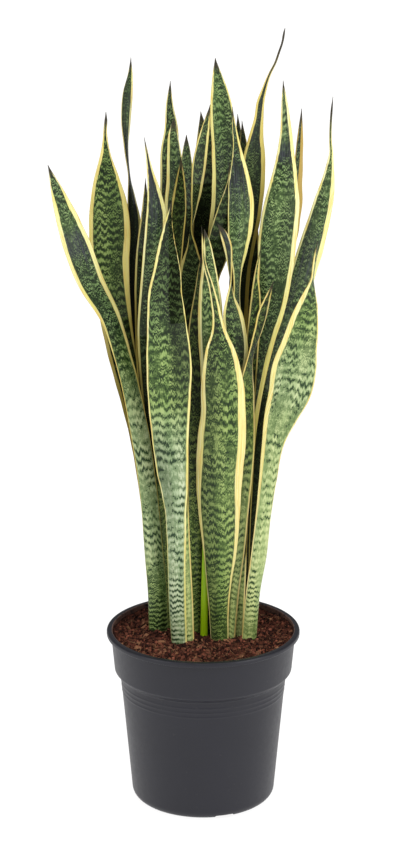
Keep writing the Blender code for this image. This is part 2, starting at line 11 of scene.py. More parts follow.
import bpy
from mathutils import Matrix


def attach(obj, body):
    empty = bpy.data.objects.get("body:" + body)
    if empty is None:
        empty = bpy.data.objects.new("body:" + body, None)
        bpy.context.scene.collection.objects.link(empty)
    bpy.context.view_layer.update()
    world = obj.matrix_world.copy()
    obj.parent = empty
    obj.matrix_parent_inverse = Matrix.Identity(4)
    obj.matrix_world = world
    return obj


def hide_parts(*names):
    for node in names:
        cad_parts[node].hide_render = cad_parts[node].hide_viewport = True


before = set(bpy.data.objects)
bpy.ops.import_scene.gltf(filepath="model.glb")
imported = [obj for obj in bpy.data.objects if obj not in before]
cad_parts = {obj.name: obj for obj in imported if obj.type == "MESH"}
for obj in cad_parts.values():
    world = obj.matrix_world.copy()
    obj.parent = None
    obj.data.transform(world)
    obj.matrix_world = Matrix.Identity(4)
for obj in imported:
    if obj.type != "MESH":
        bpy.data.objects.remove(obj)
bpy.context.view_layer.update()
print("nodes in the frame:", len(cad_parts))

# %% [markdown]
# ## Tools and units
#
# Blender counts in metres, but a leaf is easier to think of in millimetres, so all the sizes below
# are in millimetres and become metres when a mesh is made. Peat is random. One source of chance with
# a fixed seed serves every draw, so that each run strews the same crumbs.

# %% Load the tools and set the units
import math
from collections import namedtuple

import bpy
import numpy as np

MM = 0.001
SEED = 31
chance = np.random.default_rng(SEED)
print("a millimetre in Blender's metres:", MM)

# %% [markdown]
# ## Seeing it from where the photographer stood
#
# The pot's rim shows as an ellipse, which gives the height of the eye: 21 degrees above the rim, from
# about three metres away. The lens points a little lower than that, so that the whole plant fits the
# tall picture. Upright leaves stay nearly upright in the picture because the lens is long.

# %% Set up the camera
PICTURE_WIDTH, PICTURE_HEIGHT = 403, 850
EYE_DISTANCE = 3.0
EYE_OVER_RIM = math.radians(21)
EYE_ASIDE = -0.0021
LENS_DOWN = math.radians(16.5)
PIXELS_PER_RADIAN = 2576
RIM_HEIGHT = 0.220
FILM = 36.0
FARTHEST_SEEN = 100


def set_up_camera():
    """Puts the eye in front of the pot, EYE_OVER_RIM above its rim, looking LENS_DOWN."""
    data = bpy.data.cameras.new("front_view")
    data.sensor_fit = "VERTICAL"
    data.sensor_height = FILM
    data.lens = PIXELS_PER_RADIAN / PICTURE_HEIGHT * FILM
    data.clip_end = FARTHEST_SEEN
    camera = bpy.data.objects.new("front_view", data)
    height = RIM_HEIGHT + EYE_DISTANCE * math.tan(EYE_OVER_RIM)
    camera.location = (EYE_ASIDE, -EYE_DISTANCE, height)
    camera.rotation_euler = (math.pi / 2 - LENS_DOWN, 0, 0)
    bpy.context.scene.collection.objects.link(camera)
    bpy.context.scene.camera = camera
    return camera


camera = set_up_camera()
print("camera height:", round(camera.location.z, 3), "lens:", round(camera.data.lens, 1))
print("picture:", PICTURE_WIDTH, "x", PICTURE_HEIGHT)

# %% [markdown]
# ## Turning arrays into meshes
#
# A leaf could be pulled out of a flat strip by hand, with a modifier to thicken it. Numbers do it more
# evenly: every surface here is a grid of points that numpy works out as one array. A grid that closes
# on itself round one way is a tube. A leaf is such a tube, very flat, and so is the pot's wall. Each
# tube's two ends are closed with a fan of triangles round one point.


# %% Make a closed tube out of rings of points
def tube_faces(rings, places):
    """Four-cornered faces between each ring and the next one, and from the last place to the first."""
    ring = np.arange(rings - 1)[:, None] * places
    here = np.arange(places)[None, :]
    beside = (here + 1) % places
    corners = (ring + here, ring + beside, ring + places + beside, ring + places + here)
    return np.stack(corners, axis=-1).reshape(-1, 4)


def fan_faces(start, places, middle, outwards):
    """Three-cornered faces from the ring that begins at start to the point called middle."""
    here = np.arange(places)
    beside = (here + 1) % places
    pair = (here, beside) if outwards else (beside, here)
    return np.stack([start + pair[0], start + pair[1], np.full(places, middle)], axis=1)


def mesh_of(name, points, faces, smooth=True):
    """A mesh in metres from points in millimetres, with its faces turned to look outwards.

    The faces are cut into triangles. The box product of a triangle's three corners is six times the
    volume between it and the origin, and if the sum is below zero, all the faces look inwards.
    """
    mesh = bpy.data.meshes.new(name)
    corners = sum((group.tolist() for group in faces), [])
    mesh.from_pydata((points * MM).tolist(), [], corners)
    triangles = np.concatenate([
        group[:, [0, last - 1, last]] for group in faces for last in range(2, group.shape[1])
    ])
    if np.linalg.det(points[triangles]).sum() < 0:
        mesh.flip_normals()
    if smooth:
        mesh.shade_smooth()
    mesh.validate()
    return mesh


def closed_tube(name, rings, smooth=True):
    """A mesh from rings x places of points, with a fan round the middle of the first and last ring."""
    count, places = rings.shape[:2]
    ends = rings[[0, -1]].mean(axis=1)
    faces = [
        tube_faces(count, places),
        fan_faces(0, places, count * places, False),
        fan_faces((count - 1) * places, places, count * places + 1, True),
    ]
    return mesh_of(name, np.concatenate([rings.reshape(-1, 3), ends]), faces, smooth)


print("faces between two rings of six places:", len(tube_faces(2, 6)))

# %% [markdown]
# ## Hanging a piece on the frame
#
# A finished piece has to say which body it moves with and which packed solid it stands for. Its
# points may also carry numbers of their own, which its material can read by name. That beats
# painting a picture on it, because such numbers stay sharp.


# %% Link a piece and write numbers on it
def piece_of(name, mesh, material, node):
    """Links a finished piece, which rides on the one body and stands for its packed node."""
    piece = bpy.data.objects.new(name, mesh)
    bpy.context.scene.collection.objects.link(piece)
    mesh.materials.append(material)
    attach(piece, "root")
    if node:
        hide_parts(node)
    return piece


def write_on(mesh, name, values):
    """Keeps one number for each point of the mesh, for the material to read by its name."""
    attribute = mesh.attributes.new(name, "FLOAT", "POINT")
    attribute.data.foreach_set("value", values.astype(np.float32).ravel())


def read_points(mesh):
    """The mesh's points in metres, as one row of three for each."""
    points = np.empty(len(mesh.vertices) * 3, np.float32)
    mesh.vertices.foreach_get("co", points)
    return points.reshape(-1, 3)


# %% [markdown]
# ## Mixing a finish
#
# A material is a small chain of nodes: some read a place on the piece, some make noise from it, and
# the rest turn the noise into colour, roughness and relief. Such chains are mostly drawn by hand with
# the mouse. Written down they get long, because each link takes a line. The helpers below add a node,
# join its inputs and hand back its output, so that a finish reads from top to bottom like a recipe.
#
# First come colours. A screen shows each shade brighter than its share of light, so a colour picked
# on a screen has to be turned back into light before the shader can work with it.


# %% Turn a screen colour into light
def tone(red, green, blue):
    """A screen colour of 0 to 255 as the light that the shader works with.

    A dark share is divided by 12.92. Any other is (share + 0.055) / 1.055 to the power 2.4.
    """
    share = np.array([red, green, blue]) / 255.0
    light = np.where(share <= 0.04045, share / 12.92, ((share + 0.055) / 1.055) ** 2.4)
    return (*light.tolist(), 1.0)


print("a screen grey of 128 as light:", round(tone(128, 128, 128)[0], 3))

# %% [markdown]
# ## A bench to mix at
#
# Every finish here starts from the one shader that comes with a new material. The bench holds it, and
# knows how to add a node, how to join two, and what the finish has to hand over at the end. A value
# that is the same all over the piece is set on the shader itself, as the shine is, because some
# exports forget a plain value that comes through a link.


# %% Add nodes and join them
class Bench:
    """A new material, and the steps that begin and end its recipe."""

    def __init__(self, name, roughness, shine):
        self.material = bpy.data.materials.new(name)
        self.material.use_nodes = True
        self.tree = self.material.node_tree
        self.shader = self.tree.nodes["Principled BSDF"]
        self.shader.inputs["Roughness"].default_value = roughness
        self.shader.inputs["Specular IOR Level"].default_value = shine

    def step(self, kind, *values, **settings):
        """Adds a node of that kind, with its settings and with the values on its first inputs."""
        made = self.tree.nodes.new(kind)
        for setting, value in settings.items():
            setattr(made, setting, value)
        for place, value in enumerate(values):
            self.join(value, made.inputs[place])
        return made

    def join(self, value, socket):
        """Links an output to the socket, or sets the socket to a plain value."""
        if isinstance(value, bpy.types.NodeSocket):
            self.tree.links.new(value, socket)
        elif value is not None:
            socket.default_value = value

    def read(self, name):
        """The number of that name which the mesh's points carry."""
        return self.step("ShaderNodeAttribute", attribute_name=name).outputs["Fac"]

    def spot(self):
        """The place on the piece, in metres from the middle of the pot's foot."""
        return self.step("ShaderNodeTexCoord").outputs["Object"]

    def relief(self, height, depth, distance):
        """Lets the light play as if the surface rose and fell with the height, by distance metres."""
        made = self.step("ShaderNodeBump")
        made.inputs["Strength"].default_value = depth
        made.inputs["Distance"].default_value = distance
        self.join(height, made.inputs["Height"])
        self.join(made.outputs["Normal"], self.shader.inputs["Normal"])

    def paint(self, colour, roughness=None):
        """Joins the finished colour, and a roughness where it varies, to the shader."""
        self.join(colour, self.shader.inputs["Base Color"])
        self.join(roughness, self.shader.inputs["Roughness"])
        return self.material


print("steps at the bench:", sum(callable(thing) for thing in vars(Bench).values()))

# %% [markdown]
# ## Numbers, noise and colours
#
# Nature repeats nothing exactly. What varies on a leaf or in peat is noise of some size, stretched
# some way, and what repeats is a wave that noise disturbs. A few plain steps are enough to say so:
# add, multiply, make noise, let a number swing or rise, and go from one colour to another.


# %% Reckon with numbers and mix colours
class Recipe(Bench):
    """A bench with the few kinds of step that the finishes below are written in."""

    def sum(self, *values):
        """All the values added up."""
        total = values[0]
        for value in values[1:]:
            total = self.step("ShaderNodeMath", total, value, operation="ADD").outputs[0]
        return total

    def times(self, one, other):
        """One value times the other."""
        return self.step("ShaderNodeMath", one, other, operation="MULTIPLY").outputs[0]

    def straight(self, value, slope, start):
        """The straight line start + slope x value."""
        return self.sum(self.times(value, slope), start)

    def beats(self, count):
        """The sine of a count of turns, which swings once for each whole number."""
        return self.step("ShaderNodeMath", self.times(count, math.tau), operation="SINE").outputs[0]

    def place(self, *values):
        """Three numbers as one place in the noise."""
        return self.step("ShaderNodeCombineXYZ", *values).outputs[0]

    def noise(self, place, scale=1.0, detail=2.0, roughness=0.5):
        """Noise of about 0 to 1 with scale grains to a unit, and detail more layers of finer ones."""
        made = self.step("ShaderNodeTexNoise")
        self.join(place, made.inputs["Vector"])
        made.inputs["Scale"].default_value = scale
        made.inputs["Detail"].default_value = detail
        made.inputs["Roughness"].default_value = roughness
        return made.outputs[0]

    def swing(self, noise, size):
        """Noise as a number that mostly keeps between -size, where it was 0.25, and size, at 0.75."""
        made = self.step("ShaderNodeMapRange", noise, 0.25, 0.75, -size, size, clamp=False)
        return made.outputs[0]

    def rise(self, value, low, high):
        """0 below low, 1 above high, and an even S between them. It falls where low is above high."""
        made = self.step("ShaderNodeMapRange", value, low, high, interpolation_type="SMOOTHSTEP")
        return made.outputs[0]

    def blend(self, share, one, other, way="MIX"):
        """From one colour to the other, as far as the share says."""
        made = self.step("ShaderNodeMix", data_type="RGBA", blend_type=way, clamp_factor=True)
        self.join(share, made.inputs["Factor"])
        for colour, socket in zip((one, other), made.inputs[6:8]):
            self.join(colour, socket)
        return made.outputs[2]

    def tint(self, share, colour, dye):
        """The colour times a dye, as far as the share says."""
        return self.blend(share, colour, dye, "MULTIPLY")

    def ramp(self, share, *tones):
        """A colour that runs evenly through the tones as the share goes from 0 to 1."""
        made = self.step("ShaderNodeValToRGB", share)
        stops = made.color_ramp.elements
        while len(stops) < len(tones):
            stops.new(0.5)
        for place, (stop, colour) in enumerate(zip(stops, tones)):
            stop.position = place / (len(tones) - 1)
            stop.color = colour
        return made.outputs[0]


print("kinds of step in a recipe:", sum(callable(thing) for thing in vars(Recipe).values()))

# %% [markdown]
# ## Thirty-one leaves, one row at a time
#
# A sculptor would bend thirty-one strips by hand. Here each leaf is a short table instead: how far
# across, how far back and how high its middle runs, how wide it is there, and which way it faces.
# The same table shapes the packed solids, so the finer leaf lies right over its solid.
#
# In front of the rows stands the leaf's cup at its tip, in degrees. Above zero its margins still bend
# away from the side that the leaf faces, as they do at its foot, and below zero they bend towards it.

# %% The leaves' table, in millimetres and degrees
SOIL_LEVEL = 203.0
FOOT_SINK = 30.0
Leaf = namedtuple("Leaf", "cup_top rows")

LEAVES = {
    "leaf_left_outer": Leaf(-16, (
        (-55, 7, 4, 24, 8), (-56, 7, 60, 24, 10), (-60, 8, 106, 23, 10),
        (-66, 9, 184, 22, 12), (-77, 10, 267, 23, 16), (-97, 12, 363, 23, 28),
        (-112, 14, 411, 25, 22), (-136, 16, 457, 32, 6), (-150, 15, 497, 34, -6),
        (-168, 12, 551, 22, -10), (-184, 10, 598, 0, -10))),
    "leaf_left_rear_broad": Leaf(-18, (
        (-57, 45, 4, 19, -6), (-60, 45, 90, 22, -8), (-67, 45, 173, 25, -8),
        (-80, 46, 263, 28, -8), (-89, 46, 307, 31, -6), (-100, 46, 359, 35, -4),
        (-110, 47, 433, 42, 0), (-113, 47, 475, 47, 4), (-113, 47, 509, 50, 6),
        (-114, 47, 543, 45, 6), (-116, 47, 575, 30, 4), (-117, 48, 607, 11, 0),
        (-117, 48, 622, 6, -8), (-117, 48, 633, 4.2, -14), (-116, 48, 645, 3.6, -20),
        (-116, 48, 655, 0, -20))),
    "leaf_left_rear_twisted": Leaf(10, (
        (-56, 55, 4, 18, 6), (-65, 57, 165, 21, 10), (-77, 58, 295, 23, 14),
        (-86, 58, 384, 22, 22), (-87, 59, 472, 22, 36), (-84, 59, 527, 20, 40),
        (-86, 59, 548, 16, 56), (-89, 59, 576, 13, 84), (-92, 59, 610, 12, 66),
        (-92, 60, 649, 13, 24), (-90, 60, 675, 12, 10), (-87, 60, 697, 6, 0),
        (-86, 60, 718, 0, 0))),
    "leaf_left_dark": Leaf(14, (
        (-40, 18, 4, 18, 6), (-50, 18, 180, 21, 12), (-61, 19, 306, 27, 14),
        (-65, 20, 394, 29, 12), (-60, 20, 461, 29, 8), (-57, 20, 508, 27, 4),
        (-56, 20, 537, 24, 0), (-59, 20, 566, 15, 0), (-63, 21, 587, 8, 0),
        (-70, 22, 629, 0, 0))),
    "leaf_left_dark_behind": Leaf(10, (
        (-50, 28, 4, 17, 10), (-58, 28, 150, 19, 8), (-67, 28, 278, 21, 6),
        (-71, 28, 393, 23, 4), (-71, 29, 468, 22, 0), (-70, 29, 497, 19, 0),
        (-69, 29, 526, 13, 0), (-69, 30, 578, 0, 0))),
    "leaf_left_behind_outer": Leaf(8, (
        (-58, 36, 4, 16, 4), (-66, 36, 172, 19, 8), (-75, 36, 263, 20, 10),
        (-83, 35, 303, 20, 12), (-93, 35, 344, 17, 12), (-98, 34, 369, 13, 10),
        (-101, 34, 410, 0, 10))),
    "leaf_front_left": Leaf(16, (
        (-30, -24, 4, 19, -6), (-32, -24, 50, 21, -6), (-33, -24, 113, 22, -6),
        (-33, -24, 146, 24, -6), (-34, -24, 175, 26, -8), (-35, -25, 196, 31, -8),
        (-38, -26, 230, 39, -8), (-40, -26, 267, 44, -6), (-41, -25, 315, 51, -2),
        (-41, -22, 367, 54, 2), (-43, -19, 405, 48, 4), (-45, -17, 449, 40, 4),
        (-43, -15, 476, 32, 2), (-43, -13, 504, 21, 0), (-41, -11, 532, 9, 0),
        (-37, -10, 560, 0, 0))),
    "leaf_front_left_behind": Leaf(12, (
        (-22, -13, 4, 22, 4), (-23, -13, 46, 22, 4), (-26, -12, 109, 22, 4),
        (-29, -11, 172, 23, 6), (-32, -10, 230, 25, 6), (-36, -8, 314, 27, 8),
        (-38, -6, 437, 23, 8), (-36, -5, 483, 21, 8), (-33, -4, 517, 21, 4),
        (-29, -3, 552, 18, 0), (-27, -3, 581, 11, 0), (-26, -2, 610, 0, 0))),
    "leaf_mid_left": Leaf(12, (
        (-29, 40, 4, 17, -4), (-33, 37, 180, 22, -6), (-38, 34, 307, 27, -6),
        (-38, 33, 432, 27, -6), (-34, 33, 541, 26, -6), (-33, 33, 576, 22, -4),
        (-35, 33, 611, 16, -2), (-36, 33, 631, 11, 0), (-35, 33, 650, 0, 0))),
    "leaf_mid_left_rear": Leaf(12, (
        (-24, 49, 4, 17, 0), (-31, 46, 176, 22, 4), (-38, 43, 304, 25, 4),
        (-40, 41, 429, 28, 4), (-39, 41, 534, 27, 4), (-39, 41, 575, 25, 4),
        (-40, 41, 606, 22, 2), (-38, 41, 636, 16, 0), (-40, 41, 663, 9, 0),
        (-39, 41, 693, 0, 0))),
    "leaf_mid_spear": Leaf(14, (
        (-24, 31, 4, 15, 0), (-26, 30, 183, 20, 4), (-27, 28, 310, 22, 6),
        (-25, 27, 434, 22, 6), (-22, 27, 508, 21, 6), (-21, 27, 556, 19, 4),
        (-20, 27, 595, 14, 2), (-20, 27, 615, 8, 0), (-20, 27, 631, 0, 0))),
    "leaf_centre_rear_dark": Leaf(10, (
        (-4, 50, 4, 18, 0), (-8, 50, 298, 24, -6), (-6, 50, 425, 25, -10),
        (-2, 50, 548, 25, -12), (0, 50, 597, 22, -8), (0, 50, 616, 17, -4),
        (-1, 50, 635, 10, 0), (-3, 50, 655, 0, 0))),
    "leaf_centre_leaning": Leaf(14, (
        (-12, 23, 4, 17, 0), (-16, 22, 176, 25, -6), (-17, 20, 306, 33, -8),
        (-16, 20, 369, 37, -8), (-15, 19, 431, 37, -6), (-14, 17, 471, 30, -20),
        (-14, 15, 497, 22, -56), (-15, 14, 518, 18, -84), (-12, 14, 540, 17, -110),
        (-9, 13, 564, 17, -136), (-6, 14, 592, 18, -155), (-2, 15, 618, 15, -165),
        (3, 16, 643, 9, -170), (8, 16, 668, 0, -170))),
    "leaf_centre_broad": Leaf(18, (
        (-5, 34, 4, 19, 0), (-4, 36, 176, 23, 0), (-2, 38, 306, 26, 0),
        (-1, 38, 431, 27, -4), (0, 38, 506, 27, -6), (3, 38, 570, 25, -4),
        (6, 38, 615, 19, 0), (8, 38, 642, 10, 0), (8, 38, 665, 0, 0))),
    "leaf_centre_twisted_tall": Leaf(12, (
        (11, 21, 4, 18, 0), (9, 24, 244, 22, 8), (9, 26, 371, 22, 22),
        (10, 27, 433, 21, 42), (12, 28, 462, 20, 56), (13, 28, 489, 20, 46),
        (18, 28, 520, 24, 24), (23, 28, 545, 27, 10), (25, 28, 577, 29, 0),
        (24, 28, 612, 28, -4), (21, 28, 665, 26, -4), (19, 28, 683, 20, -4),
        (16, 28, 704, 10, 0), (14, 28, 722, 0, 0))),
    "leaf_centre_small_tip": Leaf(8, (
        (30, 24, 4, 13, 0), (28, 24, 200, 13, 0), (22, 20, 330, 13, 0), (14, 15, 400, 13, 0),
        (10, 14, 440, 15, 0), (11, 14, 460, 17, 0), (14, 14, 480, 26, 0), (18, 14, 498, 28, 0),
        (22, 15, 517, 26, 0), (29, 17, 548, 20, 0), (31, 18, 566, 11, 0), (32, 18, 580, 5, 0),
        (31, 19, 600, 0, 0))),
    "leaf_centre_right": Leaf(14, (
        (30, 15, 4, 17, 0), (34, 15, 178, 19, 0), (37, 15, 307, 19, 4),
        (40, 15, 395, 17, 24), (41, 15, 447, 13, 52), (42, 14, 471, 17, 44),
        (43, 13, 494, 25, 26), (44, 12, 516, 29, 10), (45, 12, 545, 31, 0),
        (43, 12, 577, 26, -4), (42, 12, 595, 19, -6), (40, 12, 617, 10, -4),
        (36, 12, 647, 4, 0), (34, 12, 667, 0, 0))),
    "leaf_rear_small_left": Leaf(8, (
        (31, 51, 4, 16, 0), (40, 50, 297, 17, 4), (43, 50, 449, 16, 8),
        (44, 50, 548, 16, 8), (43, 50, 608, 11, 4), (42, 50, 633, 6, 0),
        (41, 50, 652, 0, 0))),
    "leaf_rear_small_right": Leaf(8, (
        (37, 42, 4, 15, 0), (47.5, 40, 300, 19, 0), (56, 39, 425, 23, 0),
        (56, 39, 490, 23, 0), (53, 39, 550, 19, -4), (50, 39, 588, 14, -4),
        (48, 39, 617, 9, 0), (46, 39, 646, 0, 0))),
    "leaf_right_rear_tall": Leaf(14, (
        (40, 34, 4, 17, 0), (41, 34, 150, 19, 4), (41, 33, 304, 22, 6),
        (43, 32, 421, 24, 8), (44, 31, 454, 25, 8), (48, 31, 491, 27, 8),
        (54, 31, 527, 29, 4), (58, 31, 563, 30, 0), (61, 31, 608, 25, -4),
        (63, 31, 629, 17, -6), (66, 31, 651, 11, -6), (68, 31, 670, 9, 0),
        (72, 31, 684, 6, 0), (75, 31, 694, 4.2, 0), (79, 31, 704, 3.2, 0),
        (85, 31, 716, 2.6, 0), (89, 31, 728, 2.5, 0), (93, 31, 740, 2.3, 0),
        (95, 31, 752, 2, 0), (96, 31, 757, 0, 0))),
    "leaf_right_tall": Leaf(16, (
        (48, 19, 4, 16, 0), (50, 20, 179, 20, -4), (55, 21, 278, 23, -8),
        (65, 20, 347, 27, -12), (74, 19, 392, 31, -12), (80, 19, 419, 36, -10),
        (84, 19, 447, 40, -6), (87, 19, 477, 44, 0), (90, 20, 513, 46, 4),
        (94, 20, 547, 43, 6), (97, 21, 584, 30, 6), (98, 22, 609, 21, 4),
        (98, 22, 635, 14, 0), (96, 23, 667, 8, 0), (94, 24, 696, 0, 0))),
    "leaf_right_rear": Leaf(10, (
        (58, 43, 4, 15, 0), (58, 44, 170, 19, 6), (69, 45, 336, 21, 14),
        (84, 45, 411, 23, 20), (95, 46, 469, 25, 24), (106, 46, 518, 26, 30),
        (111, 46, 550, 23, 36), (113, 46, 572, 20, 46), (115, 46, 600, 16, 50),
        (116, 46, 627, 9, 40), (117, 46, 659, 0, 30))),
    "leaf_right_outer": Leaf(14, (
        (53, 27, 4, 14, 0), (56, 28, 124, 18, 4), (66, 29, 227, 22, 8),
        (76, 30, 305, 24, 10), (89, 31, 372, 26, 12), (106, 31, 415, 28, 14),
        (120, 30, 458, 31, 10), (131, 29, 498, 30, 4), (139, 28, 529, 26, 0),
        (145, 27, 555, 22, -4), (149, 26, 577, 15, -4), (151, 25, 598, 8, 0),
        (152, 25, 610, 4.6, 0), (151, 25, 622, 3.3, 0), (151, 25, 647, 2.6, 0),
        (152, 25, 664, 2.2, 0), (153, 24, 677, 0, 0))),
    "leaf_front_right": Leaf(14, (
        (58, -6, 4, 18, 10), (63, -9, 71, 18, 12), (69, -11, 114, 20, 12),
        (73, -13, 159, 19, 8), (79, -16, 217, 22, 2), (85, -18, 265, 28, -4),
        (93, -18, 295, 40, -6), (103, -19, 323, 50, -4), (107, -19, 340, 54, 0),
        (110, -19, 359, 53, 4), (115, -19, 383, 45, 8), (123, -19, 427, 30, 14),
        (127, -20, 451, 18, 36), (130, -20, 469, 12, 74), (132, -20, 487, 8, 60),
        (135, -20, 513, 0, 40))),
    "leaf_right_short": Leaf(10, (
        (34, 2, 4, 12, 0), (38, 2, 61, 13, 0), (44, 2, 125, 16, 0), (47, 1, 167, 17, 0),
        (50, 1, 208, 19, 0), (53, 0, 250, 19, 4), (53, -1, 312, 19, 14), (54, -1, 343, 18, 40),
        (57, -1, 364, 15, 60), (62, -2, 384, 13, 50), (67, -2, 401, 12, 30),
        (71, -3, 419, 12, 14), (77, -3, 439, 7, 4), (84, -3, 460, 0, 0))),
    "leaf_right_inner_small": Leaf(8, (
        (43, 9, 4, 14, 0), (51, 9, 247, 17, 0), (59, 10, 373, 16, 0),
        (62, 10, 411, 15, 0), (63, 10, 435, 12, 0), (64, 10, 468, 5, 0), (69, 10, 500, 0, 0))),
    "leaf_centre_twisted": Leaf(12, (
        (25, 8, 4, 15, 0), (27, 6, 118, 18, 0), (31, 5, 247, 22, 0),
        (37, 3, 343, 26, 2), (40, 2, 370, 28, 4), (38, 2, 400, 27, 10),
        (35, 1, 421, 24, 26), (33, 1, 439, 18, 54), (33, 1, 456, 14, 86),
        (32, 0, 479, 12, 118), (28, 0, 507, 12, 150), (23, 0, 520, 8, 160),
        (17, 0, 529, 0, 165))),
    "leaf_front_centre": Leaf(12, (
        (21, -7, 4, 22, 6), (20, -8, 44, 25, 6), (20, -9, 81, 32, 4),
        (21, -11, 114, 40, 2), (20, -12, 157, 49, 0), (19, -13, 200, 55, -2),
        (20, -15, 234, 58, -4), (22, -16, 263, 59, -4), (24, -15, 303, 54, -4),
        (23, -14, 333, 52, 0), (22, -14, 353, 46, 2), (20, -13, 381, 33, 2),
        (19, -12, 397, 20, 2), (17, -12, 415, 12, 0), (14, -11, 434, 9, 0),
        (9, -10, 457, 6, 0), (2, -10, 481, 4, 0), (-2, -8, 528, 0, 0))),
    "leaf_centre_behind": Leaf(12, (
        (10, 11, 4, 11, 0), (9, 10, 130, 14, 0), (9, 7, 200, 16, 0), (9, 2, 260, 21, 2),
        (10, 0, 353, 27, 4),
        (9, 0, 395, 30.4, 4), (8, 0, 439, 27, 2), (7, 0, 466, 20, 0),
        (6, 0, 489, 13, 0), (4, 0, 509, 7, 0), (1, 0, 523, 0, 0))),
    "leaf_centre_left_narrow": Leaf(12, (
        (-9, 15, 4, 12, 0), (-10, 12, 115, 17, -4), (-9, 8, 245, 21, -6),
        (-8, 6, 309, 23, -6), (-6, 6, 400, 23, -4), (-5, 6, 419, 20, -2),
        (-4, 6, 447, 12, 0), (-3, 6, 476, 5, 0), (-2, 6, 492, 0, 0))),
    "leaf_young_shoot": Leaf(20, (
        (1, 4, 4, 9, 0), (2, 4, 84, 8, 0), (3, 3, 156, 5, 0), (4, 2, 208, 0, 0))),
}
print("leaves:", len(LEAVES), "rows:", sum(len(leaf.rows) for leaf in LEAVES.values()))

# %% [markdown]
# ## A smooth spine through the rows
#
# The rows could be joined by straight lines, but then a leaf would show a kink at each. A curve that
# passes through every row with an even bend has none, and needs only the rows and their slopes.
#
# One photo can't show how far a leaf leans to the front or to the back. A clump spreads as much in
# depth as in width, so each row slides along its own line of sight, away from the clump's middle, and
# the leaf looks the same to the camera as an upright one would.

# %% Lean the leaves out and carry their rows along a curve
STATION_STEP = 5.0
SUNK_STATIONS = 3
CLUMP_MIDDLE = 18.0
LEAN = 1.35
LEAN_HEIGHT = 700.0
LEAN_POWER = 1.5
EYE = np.array(camera.location) / MM


def lean_out(rows):
    """Moves each row back by (its back - the clump's middle) x LEAN x (height / LEAN_HEIGHT)^LEAN_POWER.

    The move runs along the line from the eye through the row, and the width grows with the distance.
    """
    level = np.maximum(rows[:, 2] - SOIL_LEVEL, 0) / LEAN_HEIGHT
    move = (rows[:, 1] - CLUMP_MIDDLE) * LEAN * level**LEAN_POWER
    farther = (1 + move / (rows[:, 1] - EYE[1]))[:, None]
    places = EYE + (rows[:, :3] - EYE) * farther
    return np.hstack([places, rows[:, 3:4] * farther, rows[:, 4:]])


def spine(rows):
    """Rows about every STATION_STEP along a cubic curve through all the given rows.

    Between two rows the curve is a cubic in the share p of the way: it starts on the first row with
    that row's slope and ends on the second with its slope. The first stations are the foot, sunk in
    the soil, and the last is the tip. The second result is how far along the leaf each station is.
    """
    rows = lean_out(np.array(rows, float) + [0, 0, SOIL_LEVEL, 0, 0])
    gaps = np.linalg.norm(np.diff(rows[:, :3], axis=0), axis=1)
    marks = np.concatenate([[0.0], np.cumsum(gaps)])
    slope = np.gradient(rows, marks, axis=0)
    slope[-1] = (rows[-1] - rows[-2]) / gaps[-1]
    foot = rows[0] - (slope[0] * [1, 1, 0, 0, 0] + [0, 0, 1, 0, 0]) * FOOT_SINK
    along = np.linspace(0.0, marks[-1], int(marks[-1] / STATION_STEP) + 2)
    span = np.clip(np.searchsorted(marks, along, side="right") - 1, 0, len(gaps) - 1)
    gap = gaps[span][:, None]
    p = (along - marks[span])[:, None] / gap
    curve = (
        (2 * p**3 - 3 * p**2 + 1) * rows[span]
        + (p**3 - 2 * p**2 + p) * gap * slope[span]
        + (3 * p**2 - 2 * p**3) * rows[span + 1]
        + (p**3 - p**2) * gap * slope[span + 1]
    )
    sunk = np.linspace(foot, curve[0], SUNK_STATIONS + 1)[:-1]
    depth = np.linalg.norm(sunk[:, :3] - curve[0, :3], axis=1)
    return np.concatenate([sunk, curve]), np.concatenate([-depth, along])


print("stations of the broad front leaf:", len(spine(LEAVES["leaf_front_centre"].rows)[1]))

# %% [markdown]
# ## Thick in the middle, thin at the margins
#
# A leaf stores water, so it is almost 4 mm thick at its foot and still over 1 mm near its tip, while
# its margins are as thin as card. They are also slightly wavy. A modifier could thicken a flat strip,
# but evenly, and the lens shape that catches the light along a margin would be lost.

# %% Work out thickness and ripples
THICK_FOOT = 3.8
THICK_MID = 2.6
THICK_TIP = 1.3
THICK_LEVELS = (0.0, 0.3, 0.9, 1.0)
UPPER_SHARE = 0.75
THICK_EDGE = 0.9
THICK_PER_WIDTH = 0.12
RIPPLE = 0.7
RIPPLE_LENGTH = 38.0
RIPPLE_POWER = 3
RIPPLE_LEVELS = (0.2, 0.7)
RIPPLE_WIDTHS = (7.5, 32.5)
MARGINS_APART = 1.9


def thickness(level, width):
    """How thick the middle and the margins are, from the share of the height and the width."""
    thicknesses = [THICK_FOOT, THICK_MID, THICK_MID * UPPER_SHARE, THICK_TIP]
    thick = np.interp(level, THICK_LEVELS, thicknesses)
    thick = np.clip(thick, THICK_EDGE, THICK_EDGE + THICK_PER_WIDTH * width)
    return thick[:, None], np.minimum(THICK_EDGE, width)[:, None]


def ripples(t, along, level, width, phase):
    """A wave along the leaf that grows with the cube of the way out to the margin.

    It also grows from nothing to full between two levels and between two widths of the blade. The
    waves of the two margins are out of step.
    """
    wave = np.sin(along[:, None] / RIPPLE_LENGTH * math.tau + phase + MARGINS_APART * np.sign(t))
    grown = np.interp(level, RIPPLE_LEVELS, (0, 1)) * np.interp(width, RIPPLE_WIDTHS, (0, 1))
    return RIPPLE * np.abs(t) ** RIPPLE_POWER * wave * grown[:, None]


print("thickness at the foot and the tip:", THICK_FOOT, THICK_TIP)

# %% [markdown]
# ## The blade round its spine
#
# Low down a leaf is a deep gutter that hugs its neighbours; higher up it opens almost flat. Across,
# it is an arc, and how far it bends is one angle, the cup. Each point of the skin is worked out from
# its own place round the leaf, so that the whole blade is one formula. The cup never gets quite flat,
# because a flat arc has no radius.

